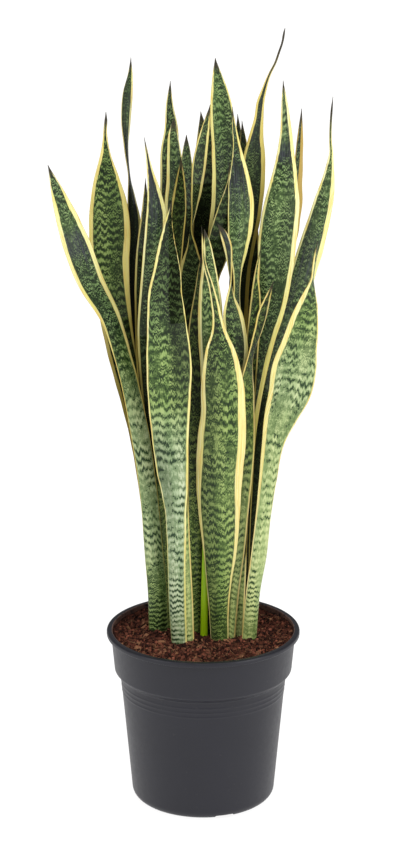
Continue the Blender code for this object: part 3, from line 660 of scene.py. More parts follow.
# %% Bend the blade across its spine
PLACES_ROUND = 36
CUP_FOOT = 54.0
CUP_MID = 15.0
CUP_LEVELS = (0.0, 0.08, 0.5, 1.0)
LEAST_CUP = 0.02  # in radians, unlike the others
LEAST_WIDTH = 0.5
EDGE_POWER = 0.6
LENS_POWER = 1.3


def frame_along(curve):
    """The way the flat face looks and the way to the right, at each station."""
    up = np.gradient(curve[:, :3], axis=0)
    up /= np.linalg.norm(up, axis=1)[:, None]
    turn = np.radians(curve[:, 4])
    face = np.stack([np.sin(turn), -np.cos(turn), np.zeros_like(turn)], axis=1)
    face -= (face * up).sum(axis=1)[:, None] * up
    face /= np.linalg.norm(face, axis=1)[:, None]
    return face, np.cross(up, face)


def blade(leaf, phase):
    """Points of a leaf as stations x places round it, and what the markings need to know of them.

    Round the leaf, t = cos(angle) goes from one margin to the other and back on the far face. Each
    point lies on an arc of the cup's radius, then moves out along the arc's own normal by half the
    thickness there, which is a lens shape with a round edge.
    """
    curve, along = spine(leaf.rows)
    middle = curve[:, :3]
    width = np.maximum(curve[:, 3], LEAST_WIDTH)
    level = (middle[:, 2] - middle[0, 2]) / (middle[-1, 2] - middle[0, 2])
    cup = np.radians(np.interp(level, CUP_LEVELS, [CUP_FOOT, CUP_FOOT, CUP_MID, leaf.cup_top]))
    cup = np.where(np.abs(cup) < LEAST_CUP, LEAST_CUP, cup)[:, None]
    thick, edge = thickness(level, width)
    radius = width[:, None] / 2 / np.sin(cup)

    round_it = np.arange(PLACES_ROUND) * math.tau / PLACES_ROUND
    t = np.cos(round_it)[None, :]
    s = np.sin(round_it)[None, :]
    lens = edge * np.abs(s) ** EDGE_POWER + (thick - edge) * np.abs(s) ** LENS_POWER
    lift = np.sign(s) * lens / 2 + ripples(t, along, level, width, phase)
    bend = t * cup
    face, side = (way[:, None, :] for way in frame_along(curve))
    cos, sin = np.cos(bend)[:, :, None], np.sin(bend)[:, :, None]
    out = face * cos + side * sin
    points = middle[:, None, :] + side * radius[:, :, None] * sin
    points = points + face * radius[:, :, None] * (cos - 1) + out * lift[:, :, None]
    return points, t * width[:, None] / 2, along, width, level


print("points of the broad front leaf:", blade(LEAVES["leaf_front_centre"], 0.0)[0].shape)

# %% [markdown]
# ## What the markings need to know
#
# The banding follows the leaf and not the room. A picture wrapped round each leaf could show it, but
# would blur from near. Instead each point carries a few numbers of its own: how far across and along
# the leaf it is, how many cross-bands lie below it and how far inside the yellow margin's inner line
# it is. Beside them stand numbers for the leaf's tone there, and the material reads them all.
#
# Such a number holds for the whole leaf, or there are pairs of a way up the leaf from the soil, in
# millimetres, and a number, with straight lines between them. This is what the numbers say:
#
# - Left and right are the widths of the yellow on the two margins, in millimetres. Full is the share
#   of the height from which a single width holds, and most is the greatest share of the blade's width
#   that a margin may take.
# - Pale runs from 0, deep and mottled, over 0.5, mid green with soft bands, to 1, silvery with crisp
#   lines. Bands is how strong the cross-bands are.
# - Dusk is painted shade deep in the clump, where little light gets down and some faces are old
#   and dull. Half paints more of it on the right half of a blade, or below zero on the left half.
#   Gloom is the margins' own painted shade, or the square of the blade's where it isn't given.
# - Painted sheen is a satin bluish grey that stands in for the gloss of the waxy skin. Warm makes
#   the green yellower, and gold deepens the yellow.
# - Dry is how many millimetres the brown tip reaches down.

# %% How each leaf is marked
Marks = namedtuple(
    "Marks", "left right full pale dusk slate warm gold dry half bands gloom most",
    defaults=(3.0, 3.0, 0.5, 0.2, 0.0, 0.0, 0.3, 0.3, 22, 0.0, 0.7, None, 0.26),
)
MARKS = {
    "leaf_left_outer": Marks(
        left=((0, 0.4), (300, 0.6), (350, 0.9), (400, 2.2), (450, 4.4), (560, 4.8), (590, 1.0)),
        right=((0, 0.5), (250, 0.9), (330, 1.8), (380, 3.4), (430, 4.8), (560, 5.2), (590, 1.0)),
        pale=((0, 0.25), (50, 0.4), (85, 0.6), (110, 0.82), (270, 0.84), (350, 0.55), (400, 0.05),
              (470, 0.1), (540, 0.25), (585, 0)),
        slate=((440, 0), (485, 0.3), (502, 0.6), (520, 0.6), (545, 0)),
        gold=((330, 0.8), (430, 0.5), (480, 0.15)), warm=((0, 0.35), (340, 0.35), (400, 0.05)),
        bands=((0, 0.9), (80, 0.8), (330, 0.75), (420, 0.35)),
    ),
    "leaf_left_rear_broad": Marks(
        left=4.8, right=((0, 1.0), (345, 1.6), (385, 3.0), (426, 6.0), (475, 8.2), (530, 6.5), (600, 1.2)),
        pale=((380, 0.1), (480, 0.25), (560, 0.2), (600, 0)), warm=0.6, gold=0.5, dry=30, half=0.2,
        dusk=((300, 0.95), (380, 0.8), (430, 0.35), (470, 0.05), (490, 0)), bands=0.75,
        gloom=((300, 0.95), (385, 0.62), (426, 0.22), (460, 0.0)),
    ),
    "leaf_left_rear_twisted": Marks(
        left=0.8, right=3.8, pale=0.12, dusk=((400, 1), (530, 0.75), (570, 0.35), (610, 0)), warm=0,
        slate=((540, 0.6), (600, 0.6), (640, 0.4), (690, 0.3)), gold=0.1, half=-0.5, bands=0.15,
    ),
    "leaf_left_dark": Marks(
        left=2.6, right=5.5, pale=((60, 0.6), (190, 0.5), (260, 0.1)), warm=((190, 0.9), (260, 0)),
        dusk=((60, 0.3), (180, 0.45), (225, 0.95), (330, 0.95), (440, 0.5), (500, 0.2), (540, 0)),
        slate=((440, 0.15), (510, 0.3), (550, 0.7), (600, 0.9), (629, 0.3)), gold=0.2, bands=0.4,
    ),
    "leaf_left_dark_behind": Marks(
        left=2.4, right=1.6, pale=0.05, dusk=((400, 0.97), (500, 0.7)), slate=0.3, gold=0.5,
    ),
    "leaf_left_behind_outer": Marks(
        left=2.6, right=1.2, pale=0.2, dusk=((330, 0.97), (400, 0.8)), gold=0.85, gloom=0.0,
    ),
    "leaf_front_left": Marks(
        left=((0, 0.9), (150, 1.2), (300, 1.8), (405, 2.0), (449, 2.6), (504, 3.2), (560, 0.4)),
        right=((0, 2.6), (120, 2.6), (200, 2.2), (318, 2.8), (405, 1.6), (480, 0.8), (560, 0.2)),
        pale=((0, 0.85), (60, 0.92), (200, 0.95), (245, 0.84), (290, 0.66), (330, 0.42), (367, 0.42),
              (420, 0.14), (460, 0)),
        warm=((0, 0.1), (260, 0.05), (310, 0.35), (360, 0.4), (420, 0.2)), gold=0.25,
        half=((150, -0.1), (220, -0.4), (270, -0.2), (310, 0.25), (360, 0.6), (420, 0.75), (500, 0.6)),
        dusk=((400, 0.0), (450, 0.45), (540, 0.55)), gloom=0.0,
        bands=((0, 1), (60, 0.95), (110, 0.8), (280, 0.75), (330, 0.7), (450, 0.8)),
    ),
    "leaf_front_left_behind": Marks(
        left=3.6, right=((0, 3.0), (80, 2.4), (160, 1.6)), pale=((0, 0.95), (160, 0.75), (220, 0.1)),
        dusk=((165, 0), (185, 0.96), (430, 0.96), (520, 0.85)), warm=1.0, gold=0.4,
    ),
    "leaf_mid_left": Marks(
        left=5.2, right=1.8, pale=0.2, dusk=((470, 0.93), (545, 0.4), (590, 0.1)), slate=0.25, warm=0.1,
        bands=0.4,
    ),
    "leaf_mid_left_rear": Marks(
        left=2.4, right=2.2, pale=0.05, dusk=((520, 0.93), (600, 0.25)), slate=0.25, warm=0.2, half=0.2,
    ),
    "leaf_mid_spear": Marks(
        left=1.6, right=1.6, pale=0.1, dusk=((510, 0.95), (570, 0.4), (620, 0.2)), slate=0.3, warm=0.2,
    ),
    "leaf_centre_rear_dark": Marks(
        left=1.8, right=1.8, pale=0.05, dusk=((560, 0.96), (620, 0.5)), slate=0.3,
    ),
    "leaf_centre_leaning": Marks(
        left=4.2, right=2.4, pale=0.15, dusk=((240, 0.8), (330, 0.88), (560, 0.8), (640, 0.4)), gold=0.5,
    ),
    "leaf_centre_broad": Marks(left=2.2, right=2.4, pale=0.1, dusk=((520, 0.93), (620, 0.5)), slate=0.15),
    "leaf_centre_twisted_tall": Marks(
        left=4.6, right=2.4, warm=0.1, gold=0.5, half=0.25, bands=0.55,
        pale=((480, 0.05), (560, 0.15), (640, 0.2), (675, 0.4), (695, 0.4), (708, 0)),
        dusk=((480, 0.95), (540, 0.55), (580, 0.2), (640, 0)),
        slate=((600, 0.3), (650, 0.15), (700, 0.1), (712, 0.6)),
    ),
    "leaf_centre_small_tip": Marks(
        left=1.6, right=1.6, pale=0.1, dusk=((470, 0.95), (540, 0.5)), half=0.6,
    ),
    "leaf_centre_right": Marks(
        left=1.5, right=5.4, pale=((380, 0.1), (470, 0.3), (560, 0.3), (575, 0), (600, 0)), warm=0.0,
        dusk=((380, 0.93), (440, 0.3), (480, 0)), gold=0.45, half=0.2, bands=0.35,
        slate=((440, 0.15), (530, 0.2), (560, 0.4), (578, 0.65), (600, 0.3)),
    ),
    "leaf_rear_small_left": Marks(
        left=1.6, right=1.6, pale=0.05, dusk=((520, 0.96), (600, 0.65)), slate=0.2,
    ),
    "leaf_rear_small_right": Marks(
        left=1.6, right=2.2, pale=0.05, dusk=((540, 0.96), (610, 0.65)), slate=0.2, gold=0.6,
    ),
    "leaf_right_rear_tall": Marks(
        left=3.4, right=5.0, pale=0.05, dusk=((480, 0.95), (550, 0.6), (640, 0.3)), gold=0.8, dry=75,
        slate=((520, 0.1), (580, 0.2), (620, 0.5)), bands=0.1,
        gloom=((470, 0.95), (505, 0.8), (540, 0.25), (570, 0.0)),
    ),
    "leaf_right_tall": Marks(
        left=3.2, right=5.6, full=0.45,
        pale=((340, 0.1), (420, 0.2), (500, 0.28), (580, 0.28), (605, 0), (618, 0.3), (630, 0.6)),
        dusk=((60, 0.96), (240, 0.93), (340, 0.35), (400, 0.1), (440, 0)),
        slate=((590, 0), (604, 0.6), (618, 0.6), (630, 0.4)), gold=((380, 0.7), (470, 0.15)),
        warm=0.05, half=0.3, bands=((600, 0.5), (625, 0.8)),
    ),
    "leaf_right_rear": Marks(
        left=1.6, right=15.0, pale=0.1, dusk=((400, 0.93), (480, 0.45)), warm=0.0, gold=1.0, dry=30,
        gloom=0.42, most=0.6,
    ),
    "leaf_right_outer": Marks(
        left=2.8, right=5.6, pale=0.32, dusk=((280, 0.95), (340, 0.5), (400, 0.08)), warm=0, gold=0.15,
        slate=((280, 0.2), (370, 0.4), (470, 0.46), (520, 0.4), (560, 0.1)), dry=62, bands=0.45,
        half=-0.25,
    ),
    "leaf_front_right": Marks(
        left=6.0, right=1.6, full=0.6, gold=0.2,
        pale=((0, 0.7), (40, 0.85), (90, 1), (240, 0.94), (270, 0.8), (300, 0.74), (330, 0.82),
              (380, 0.7), (430, 0.48), (500, 0)),
        warm=((0, 0.9), (240, 0.7), (340, 0.3), (420, 0.4)),
        bands=((0, 1), (50, 0.9), (100, 0.65), (240, 0.62), (330, 0.7)),
    ),
    "leaf_right_short": Marks(
        left=((0, 2.8), (160, 2.0), (300, 1.6)), right=((0, 2.8), (160, 2.0), (300, 1.8)), warm=1.0,
        pale=((0, 0.85), (200, 0.75), (330, 0.3), (380, 0.1)), dusk=((320, 0), (365, 0.6)), gold=0.4,
        gloom=0.0,
    ),
    "leaf_right_inner_small": Marks(
        left=((0, 2.6), (120, 1.8)), right=((0, 2.6), (120, 1.8)), warm=1.0, gold=0.5,
        pale=((0, 0.9), (90, 0.8), (150, 0.1)), dusk=((80, 0), (110, 0.96), (340, 0.95), (400, 0.1)),
    ),
    "leaf_centre_twisted": Marks(
        left=3.0, right=5.0, full=0.6, pale=0.15, dusk=((240, 0.9), (300, 0.4), (340, 0.1)),
        slate=((430, 0.1), (460, 0.7), (500, 0.6)), gold=0.3, half=0.3,
    ),
    "leaf_front_centre": Marks(
        left=((110, 1.4), (130, 3.0), (172, 4.2), (235, 8.5), (297, 6.5), (400, 2.6), (520, 0.3)),
        right=((0, 2.6), (44, 3.0), (88, 3.8), (130, 5.2), (172, 6.6), (214, 9.4), (300, 9.6),
               (380, 5.0), (440, 2.0), (520, 0.3)),
        pale=((0, 0.35), (60, 0.5), (230, 0.55), (290, 0.5), (340, 0.35), (390, 0.1)),
        warm=((0, 0.8), (300, 0.5)), bands=0.75, dusk=0.1, gloom=0.0, gold=0.2, half=-0.4,
    ),
    "leaf_centre_behind": Marks(
        left=4.6, right=2.4, pale=((260, 0.2), (330, 0.35), (440, 0.5), (470, 0.2)), warm=0.2, gold=0.1,
        dusk=((60, 0.93), (240, 0.7), (300, 0.05)),
    ),
    "leaf_centre_left_narrow": Marks(
        left=1.8, right=1.8, pale=((0, 0.4), (150, 0.35), (300, 0.15)), warm=0.9, gold=0.5,
        dusk=((0, 0.1), (140, 0.12), (230, 0.45), (330, 0.6)),
    ),
}
print("leaves with marks of their own:", len(MARKS))

# %% [markdown]
# ## Margins and bands along a leaf
#
# Most margins swell from the foot, stay wide and run out at the tip, so one width and one curve do
# for them. The bands lie closer at a leaf's foot than higher up: the table gives the millimetres from
# band to band at some heights. So their count isn't the height over one step. It adds up one over the
# step there, which a running sum gives for all the stations at once.

# %% Read off the marks
BAND_STEPS = ((0, 6.0), (60, 6.5), (110, 9.5), (180, 11.0), (300, 12.0), (450, 10.0), (700, 9.0))
MARGIN_LEVELS = (0.0, 0.55, 1.0, 1.6, 1.9, 2.0)
MARGIN_SHARES = (0.2, 0.28, 0.95, 1.0, 0.6, 0.05)


def read_off(marks, height):
    """One number at every height: the same all along, or read off the lines between given pairs."""
    if isinstance(marks, tuple):
        return np.interp(height, *zip(*marks))
    return marks + 0.0 * height


def margin_width(marks, side, height, level):
    """How wide the yellow is. One number tapers to the foot and tip, and is full above marks.full."""
    width = read_off(side, height)
    if isinstance(side, tuple):
        return width
    reach = np.where(level < marks.full, level / marks.full, 1 + (level - marks.full) / (1 - marks.full))
    return width * np.interp(reach, MARGIN_LEVELS, MARGIN_SHARES)


def count_bands(along):
    """How many bands lie below each station: the sum of (length / band step there)."""
    heights, steps = zip(*BAND_STEPS)
    rate = 1.0 / np.interp(along, heights, steps)
    return np.concatenate([[0.0], np.cumsum((rate[1:] + rate[:-1]) / 2 * np.diff(along))])


print("bands on a leaf of 500 mm:", round(count_bands(np.arange(0.0, 505.0, STATION_STEP))[-1], 1))

# %% [markdown]
# ## Writing the numbers on the points
#
# Deep in the clump the leaves are nearly black, some because they are old and dull and all for want
# of light. One number, dusk, stands for both. The faces that look out of the clump at its back are
# lit, so there most of it is taken away. Each leaf's height and band count also start at a number of
# their own. So each reads its own stretch of the noise, or all would wear the same marks.

# %% Carry the marks on the mesh
HALF_STEEPNESS = 3
HALF_REACH = 0.25
OPEN_BACK = 0.35
NEXT_GRAIN = 977.0
NEXT_BANDS = 61.0


def open_shade(points):
    """1 where a face looks into the clump or at the camera, and OPEN_BACK where it looks out behind."""
    far_face = np.sin(np.arange(PLACES_ROUND) * math.tau / PLACES_ROUND) < 0
    return np.where(far_face & (points[:, :, 1] > CLUMP_MIDDLE), OPEN_BACK, 1.0)


def carry_marks(mesh, points, across, along, width, level, marks, number):
    """Writes on the mesh's points the numbers that the leaf finish reads."""
    height = np.maximum(along, 0)[:, None]
    left = margin_width(marks, marks.left, height, level[:, None])
    right = margin_width(marks, marks.right, height, level[:, None])
    margin = np.minimum(np.where(across < 0, left, right), width[:, None] * marks.most)
    rim = width[:, None] / 2 - np.abs(across)
    # Painted shade: half darkens one side of the blade, dusk and gloom the faces deep in the clump.
    half = read_off(marks.half, height)
    lean = np.sign(half) * across / (width[:, None] / 2)
    lean = np.clip(lean * HALF_STEEPNESS + HALF_REACH, 0, 1)
    shade = open_shade(points)
    dusk = read_off(marks.dusk, height)
    gloom = dusk**2 if marks.gloom is None else read_off(marks.gloom, height)
    carried = {
        "across": across,
        "along": height + number * NEXT_GRAIN,
        "beat": count_bands(along)[:, None] + number * NEXT_BANDS,
        "rim": rim,
        "inside": rim - margin,
        "gloom": gloom * shade,
        "dusk": (1 - (1 - dusk) * (1 - np.abs(half) * lean)) * shade,
        "dry": np.clip(1 - (along[-1] - height) / marks.dry, 0, 1),
    }
    for name in ("pale", "slate", "warm", "gold", "bands"):
        carried[name] = read_off(getattr(marks, name), height)
    for name, values in carried.items():
        full = values + np.zeros_like(across)
        write_on(mesh, name, np.concatenate([full.ravel(), [full[0].mean(), full[-1].mean()]]))


print("share of the dusk left on open faces at the back:", OPEN_BACK)

# %% [markdown]
# ## The leaf's finish
#
# One painted picture for each of the thirty-one leaves would be a long task, and none would stay
# sharp from near. Instead one recipe reads the numbers on the points and draws every leaf with noise
# and sines, so that a change of one number re-draws a whole leaf. The noise is stretched along the
# leaf, as the real leaf's cells are.

# %% Read the leaf's numbers
LeafNumbers = namedtuple(
    "LeafNumbers", "across along beat inside rim dry gloom pale dusk slate warm gold bands",
)


class LeafRecipe(Recipe):
    """A recipe that knows the numbers a leaf carries, and how deep its green is."""

    def __init__(self, name, shine):
        super().__init__(name, roughness=0.4, shine=shine)
        self.leaf = LeafNumbers(*(self.read(number) for number in LeafNumbers._fields))
        self.deep = self.straight(self.leaf.pale, -1.0, 1.0)

    def grain(self, per_across, per_along, detail=2.0, start=0.0):
        """Noise with that many grains to a millimetre across and along the leaf."""
        across = self.times(self.leaf.across, per_across)
        along = self.times(self.leaf.along, per_along)
        return self.noise(self.place(across, along, start), 1.0, detail)


print("numbers that a leaf's points carry:", len(LeafNumbers._fields))

# %% [markdown]
# ## Cross-bands
#
# On a real leaf the dark bands are drawn by upright files of cells, so each band's line is jagged and
# neighbouring bands echo each other's zigzag. A sine of the band count gives the bands their beat.
# Noise that hardly changes along the leaf pushes their line up and down, and that makes the echo.
# More noise lets the bands fade and break. Between them run finer lines and small flecks, most of
# them high on a leaf, and the pale ground low down is clouded by wax.

# %% Draw the bands and the small marks
FINE_PER_BAND = 2.3


def wide_bands(mix):
    """Two numbers: a wave of the band count along a jagged line, and breaks that follow that line."""
    leaf = mix.leaf
    files = mix.swing(mix.grain(0.5, 0.03, 1.0), 0.22)
    zigzag = mix.swing(mix.grain(0.13, 0.012, 2.0, 7.0), 0.75)
    line = mix.sum(leaf.beat, files, mix.times(zigzag, mix.straight(mix.deep, 0.4, 0.6)))
    steady = mix.straight(mix.rise(mix.grain(0.04, 0.02, 1.0, 17.0), 0.36, 0.62), 0.75, 0.22)
    stripe = mix.times(mix.beats(line), mix.times(leaf.bands, steady))
    breaks = mix.noise(mix.place(mix.times(leaf.across, 0.13), mix.times(line, 0.9), 21.0), 1.0, 1.0)
    broken = mix.times(mix.swing(breaks, 0.38), mix.straight(leaf.bands, 0.8, 0.2))
    return stripe, broken


def small_marks(mix):
    """Fine lines in patches, flecks, files of cells, clouds, wax, and the bareness of pale ground."""
    leaf, deep = mix.leaf, mix.deep
    count = mix.sum(mix.times(leaf.beat, FINE_PER_BAND), mix.swing(mix.grain(0.4, 0.07, 2.0, 19.0), 1.0))
    patches = mix.rise(mix.grain(0.11, 0.035, 2.0, 23.0), 0.38, 0.62)
    fine = mix.times(mix.beats(count), mix.times(patches, mix.straight(deep, 0.98, 0.1)))
    flecks = mix.times(mix.swing(mix.grain(0.34, 0.5, 1.0, 13.0), 0.4), mix.straight(deep, 0.6, 0.4))
    cells = mix.swing(mix.grain(0.85, 0.14, 1.0, 43.0), 0.34)
    clouds = mix.swing(mix.grain(0.05, 0.016, 2.0, 31.0), 0.55)
    clouds = mix.times(clouds, mix.straight(deep, 0.6, 0.15))
    wax = mix.times(mix.swing(mix.grain(0.09, 0.04, 3.0, 37.0), 0.4), leaf.pale)
    warm_bare = mix.times(mix.times(leaf.pale, leaf.warm), -0.25)
    bare = mix.sum(mix.times(leaf.pale, -0.05), warm_bare, 0.02)
    return fine, flecks, cells, clouds, wax, bare


print("fine lines to one band:", FINE_PER_BAND)

# %% [markdown]
# ## The green
#
# Low down the ground is a pale, waxy grey-green with crisp dark lines. Higher up it deepens and the
# bands soften. So the green has a light, a middle and a dark tone, each a ramp from the deep leaf to
# the pale one, and the sum of all the marks chooses between them. Painted shade along long soft
# creases darkens it, a line of plainer green runs along the yellow, and a painted sheen turns parts
# of some leaves satin grey in fine threads. Dusk, the painted shade deep in the clump, brings all of
# it down to near black.

# %% Colour the green
LIGHT_GREENS = (tone(132, 158, 102), tone(160, 182, 118), tone(206, 216, 184))
MIDDLE_GREENS = (tone(62, 84, 48), tone(92, 118, 64), tone(156, 174, 134))
DARK_GREENS = (tone(18, 27, 14), tone(36, 56, 27), tone(48, 72, 46))
HALO_GREENS = (tone(44, 58, 30), tone(96, 116, 60), tone(150, 166, 110))
# The painted sheen: dark and light satin greys that stand in for the gloss of the waxy skin.
SATIN_DARK = tone(22, 24, 26)
SATIN_LIGHT = tone(76, 80, 86)
PAINTED_SHADE_GREEN = tone(14, 15, 7)
WARM_DYE = (1.2, 1.15, 0.7, 1.0)
# A tint for painted shade along long soft creases.
FOLD_SHADE = (0.66, 0.74, 0.66, 1.0)


def leaf_green(mix, cover):
    """The banded middle, with painted shade and sheen. The higher the cover, the darker the tone."""
    leaf = mix.leaf
    light, middle, dark, halo_green = (
        mix.ramp(leaf.pale, *greens) for greens in (LIGHT_GREENS, MIDDLE_GREENS, DARK_GREENS, HALO_GREENS)
    )
    soft = mix.times(mix.rise(cover, -0.85, 0.85), mix.deep)
    crisp = mix.times(mix.rise(cover, 0.28, 0.5), leaf.pale)
    green = mix.blend(mix.rise(cover, -0.65, 0.05), light, middle)
    green = mix.blend(mix.sum(soft, crisp), green, dark)
    green = mix.tint(leaf.warm, green, WARM_DYE)
    # Painted shade along long soft creases of the leaf.
    fold_shade = mix.rise(mix.grain(0.16, 0.005, 2.0, 27.0), 0.36, 0.62)
    green = mix.tint(fold_shade, green, FOLD_SHADE)
    halo = mix.times(mix.rise(leaf.inside, 2.2, 0.8), 0.45)
    green = mix.blend(halo, green, halo_green)
    # Painted sheen where the leaf carries it, in fine threads of satin grey.
    threads = mix.rise(mix.grain(1.1, 0.008, 2.0, 47.0), 0.35, 0.68)
    satin = mix.blend(threads, SATIN_DARK, SATIN_LIGHT)
    sheen_share = mix.sum(leaf.slate, mix.swing(mix.grain(0.3, 0.02, 2.0, 33.0), 0.28))
    green = mix.blend(mix.rise(sheen_share, 0.1, 0.9), green, satin)
    # Dusk paints shade here, down to near black deep in the clump.
    return mix.blend(mix.times(leaf.dusk, 0.95), green, PAINTED_SHADE_GREEN)


print("light in the darkest green:", round(DARK_GREENS[0][1], 3))
print("light in the lightest green:", round(LIGHT_GREENS[-1][1], 3))

# %% [markdown]
# ## The yellow margin
#
# A margin is cream in a young leaf and ripens to honey and ochre. Close up it is never plain: fine
# threads run along it, and old ones have blotches, brown freckles and a thin brown rim where the leaf
# has rubbed against others.

# %% Colour the yellow
CREAM = tone(247, 246, 190)
BUTTER = tone(234, 227, 138)
HONEY = tone(228, 212, 88)
OCHRE = tone(222, 180, 74)
BLOTCH = tone(224, 186, 92)
FRECKLE = tone(120, 96, 50)
RIM_BROWN = tone(190, 156, 72)
PAINTED_SHADE_YELLOW = tone(84, 71, 16)
WARM_CREAM_DYE = (1.0, 0.9, 0.84, 1.0)


def leaf_yellow(mix):
    """The margins: cream to honey by how golden the leaf is, then small flaws and painted shade."""
    leaf = mix.leaf
    threads = mix.rise(mix.grain(0.9, 0.006, 2.0, 51.0), 0.35, 0.65)
    yellow = mix.blend(threads, CREAM, BUTTER)
    honey = mix.blend(mix.rise(leaf.gold, 0.7, 1.0), HONEY, OCHRE)
    yellow = mix.blend(mix.times(leaf.gold, 0.85), yellow, honey)
    yellow = mix.tint(leaf.warm, yellow, WARM_CREAM_DYE)
    blotches = mix.times(mix.rise(mix.grain(0.4, 0.03, 3.0, 55.0), 0.5, 0.64), 0.5)
    yellow = mix.blend(blotches, yellow, BLOTCH)
    freckles = mix.times(mix.rise(mix.grain(0.9, 0.5, 3.0, 57.0), 0.64, 0.76), 0.6)
    yellow = mix.blend(freckles, yellow, FRECKLE)
    yellow = mix.blend(mix.rise(leaf.rim, 0.45, 0.05), yellow, RIM_BROWN)
    # Gloom paints shade on the margins, down to a dark olive deep in the clump.
    return mix.blend(mix.times(leaf.gloom, 0.94), yellow, PAINTED_SHADE_YELLOW)


print("light in cream and in ochre:", round(CREAM[1], 3), round(OCHRE[1], 3))

# %% [markdown]
# ## Joining green, yellow and the dry tip
#
# The two colours meet along a line with fine streaks, where the number called inside passes zero. The
# brown husk of an old tip lies over both. Flutes along the leaf are far too shallow for the mesh, so
# they are relief that only the light sees. Most leaves have a waxy shine. Faces in deep painted shade
# get the same recipe with next to none, so that no lamp shows on them.

# %% Mix the leaf finish
HUSK_LIGHT = tone(70, 62, 44)
HUSK_DARK = tone(28, 28, 22)
WAXY_SHINE = 0.3
# The shine of faces in deep painted shade, low so that no lamp shows on that shade.
PAINTED_SHADE_SHINE = 0.04


def mix_leaf_finish(name, shine):
    """The whole leaf: the marks choose the green, the yellow lies round it and the husk on top."""
    mix = LeafRecipe(name, shine)
    leaf = mix.leaf
    cover = mix.sum(*wide_bands(mix), *small_marks(mix))
    streaks = mix.swing(mix.grain(1.4, 0.012, 2.0, 41.0), 0.6)
    yellow_here = mix.rise(mix.sum(leaf.inside, streaks), 0.3, -0.2)
    colour = mix.blend(yellow_here, leaf_green(mix, cover), leaf_yellow(mix))
    husk = mix.blend(mix.grain(0.8, 0.2, 2.0, 61.0), HUSK_LIGHT, HUSK_DARK)
    colour = mix.blend(mix.rise(leaf.dry, 0.15, 0.7), colour, husk)
    cell_relief = mix.times(mix.grain(0.9, 0.25, 2.0, 81.0), 0.35)
    flutes = mix.sum(mix.grain(0.5, 0.006, 2.0, 71.0), cell_relief)
    mix.relief(flutes, 0.5, 0.0006)
    gloss = mix.times(mix.grain(0.1, 0.02, 2.0, 91.0), 0.3)
    roughness = mix.sum(gloss, mix.times(leaf.dusk, 0.35), mix.times(leaf.slate, -0.08), 0.24)
    return mix.paint(colour, roughness)


leaf_finish = mix_leaf_finish("banded_leaf", WAXY_SHINE)
# The same recipe with next to no shine, for faces in deep painted shade.
painted_shade_finish = mix_leaf_finish("painted_shade_leaf", PAINTED_SHADE_SHINE)
print("leaf finish steps:", len(leaf_finish.node_tree.nodes))

# %% [markdown]
# ## The young shoot
#
# One new leaf is still rolled up between the others. It is a bright lime green and hardly banded, so
# it needs none of the marks above, and two greens in fine threads are enough.

# %% Mix the shoot's finish
LIME_DEEP = tone(166, 222, 6)
LIME_LIGHT = tone(200, 240, 26)


def mix_shoot_finish():
    """Fine threads of two lime greens along the shoot."""
    mix = Recipe("lime_shoot", roughness=0.38, shine=0.5)
    along, across = mix.read("along"), mix.read("across")
    threads = mix.noise(mix.place(mix.times(across, 1.2), mix.times(along, 0.01), 3.0))
    mix.relief(threads, 0.4, 0.0005)
    return mix.paint(mix.blend(threads, LIME_DEEP, LIME_LIGHT))


shoot_finish = mix_shoot_finish()
print("shoot finish steps:", len(shoot_finish.node_tree.nodes))

# %% [markdown]
# ## Growing the leaves
#
# All the leaves could be joined in one mesh, but then none could be moved or left out. Each is its
# own piece, named after its solid. Faces where dusk paints deep shade take the finish with next to
# no shine, face by face, so that a leaf can be dull in painted shade at its foot and shiny at its top.


# %% Make every leaf
# The dusk above which a face counts as in deep painted shade and gets the low-shine finish.
PAINTED_SHADE_FROM = 0.75
RIPPLE_STEP = 1.7


def painted_shade_faces(mesh):
    """1 for each face whose first corner lies in painted shade deeper than the threshold, else 0."""
    dusk = np.empty(len(mesh.vertices), np.float32)
    mesh.attributes["dusk"].data.foreach_get("value", dusk)
    corners = np.empty(len(mesh.loops), np.int32)
    mesh.loops.foreach_get("vertex_index", corners)
    starts = np.empty(len(mesh.polygons), np.int32)
    mesh.polygons.foreach_get("loop_start", starts)
    return (dusk[corners[starts]] > PAINTED_SHADE_FROM).astype(np.int32)


def make_leaf(name, leaf, number):
    """One leaf's piece. Its number sets where its ripple starts and which part of the noise it gets."""
    points, across, along, width, level = blade(leaf, phase=number * RIPPLE_STEP)
    mesh = closed_tube(name.replace("leaf", "blade"), points)
    carry_marks(mesh, points, across, along, width, level, MARKS.get(name, Marks()), number)
    finish = shoot_finish if name == "leaf_young_shoot" else leaf_finish
    piece = piece_of(mesh.name, mesh, finish, name)
    # Faces in deep painted shade take the low-shine finish.
    mesh.materials.append(painted_shade_finish)
    mesh.polygons.foreach_set("material_index", painted_shade_faces(mesh))
    return piece


blades = [make_leaf(name, leaf, number) for number, (name, leaf) in enumerate(LEAVES.items())]
print("blades:", len(blades), "faces:", sum(len(piece.data.polygons) for piece in blades))

# %% [markdown]
# ## The nursery pot
#
# The pot is moulded in one go: a tapered wall, a step out to a collar that stacks on the next pot,
# three fine ribs under the step and a rolled lip. Its sizes are those of the usual 24 cm pot. They
# stand together here, because the soil has to fit into the same wall.

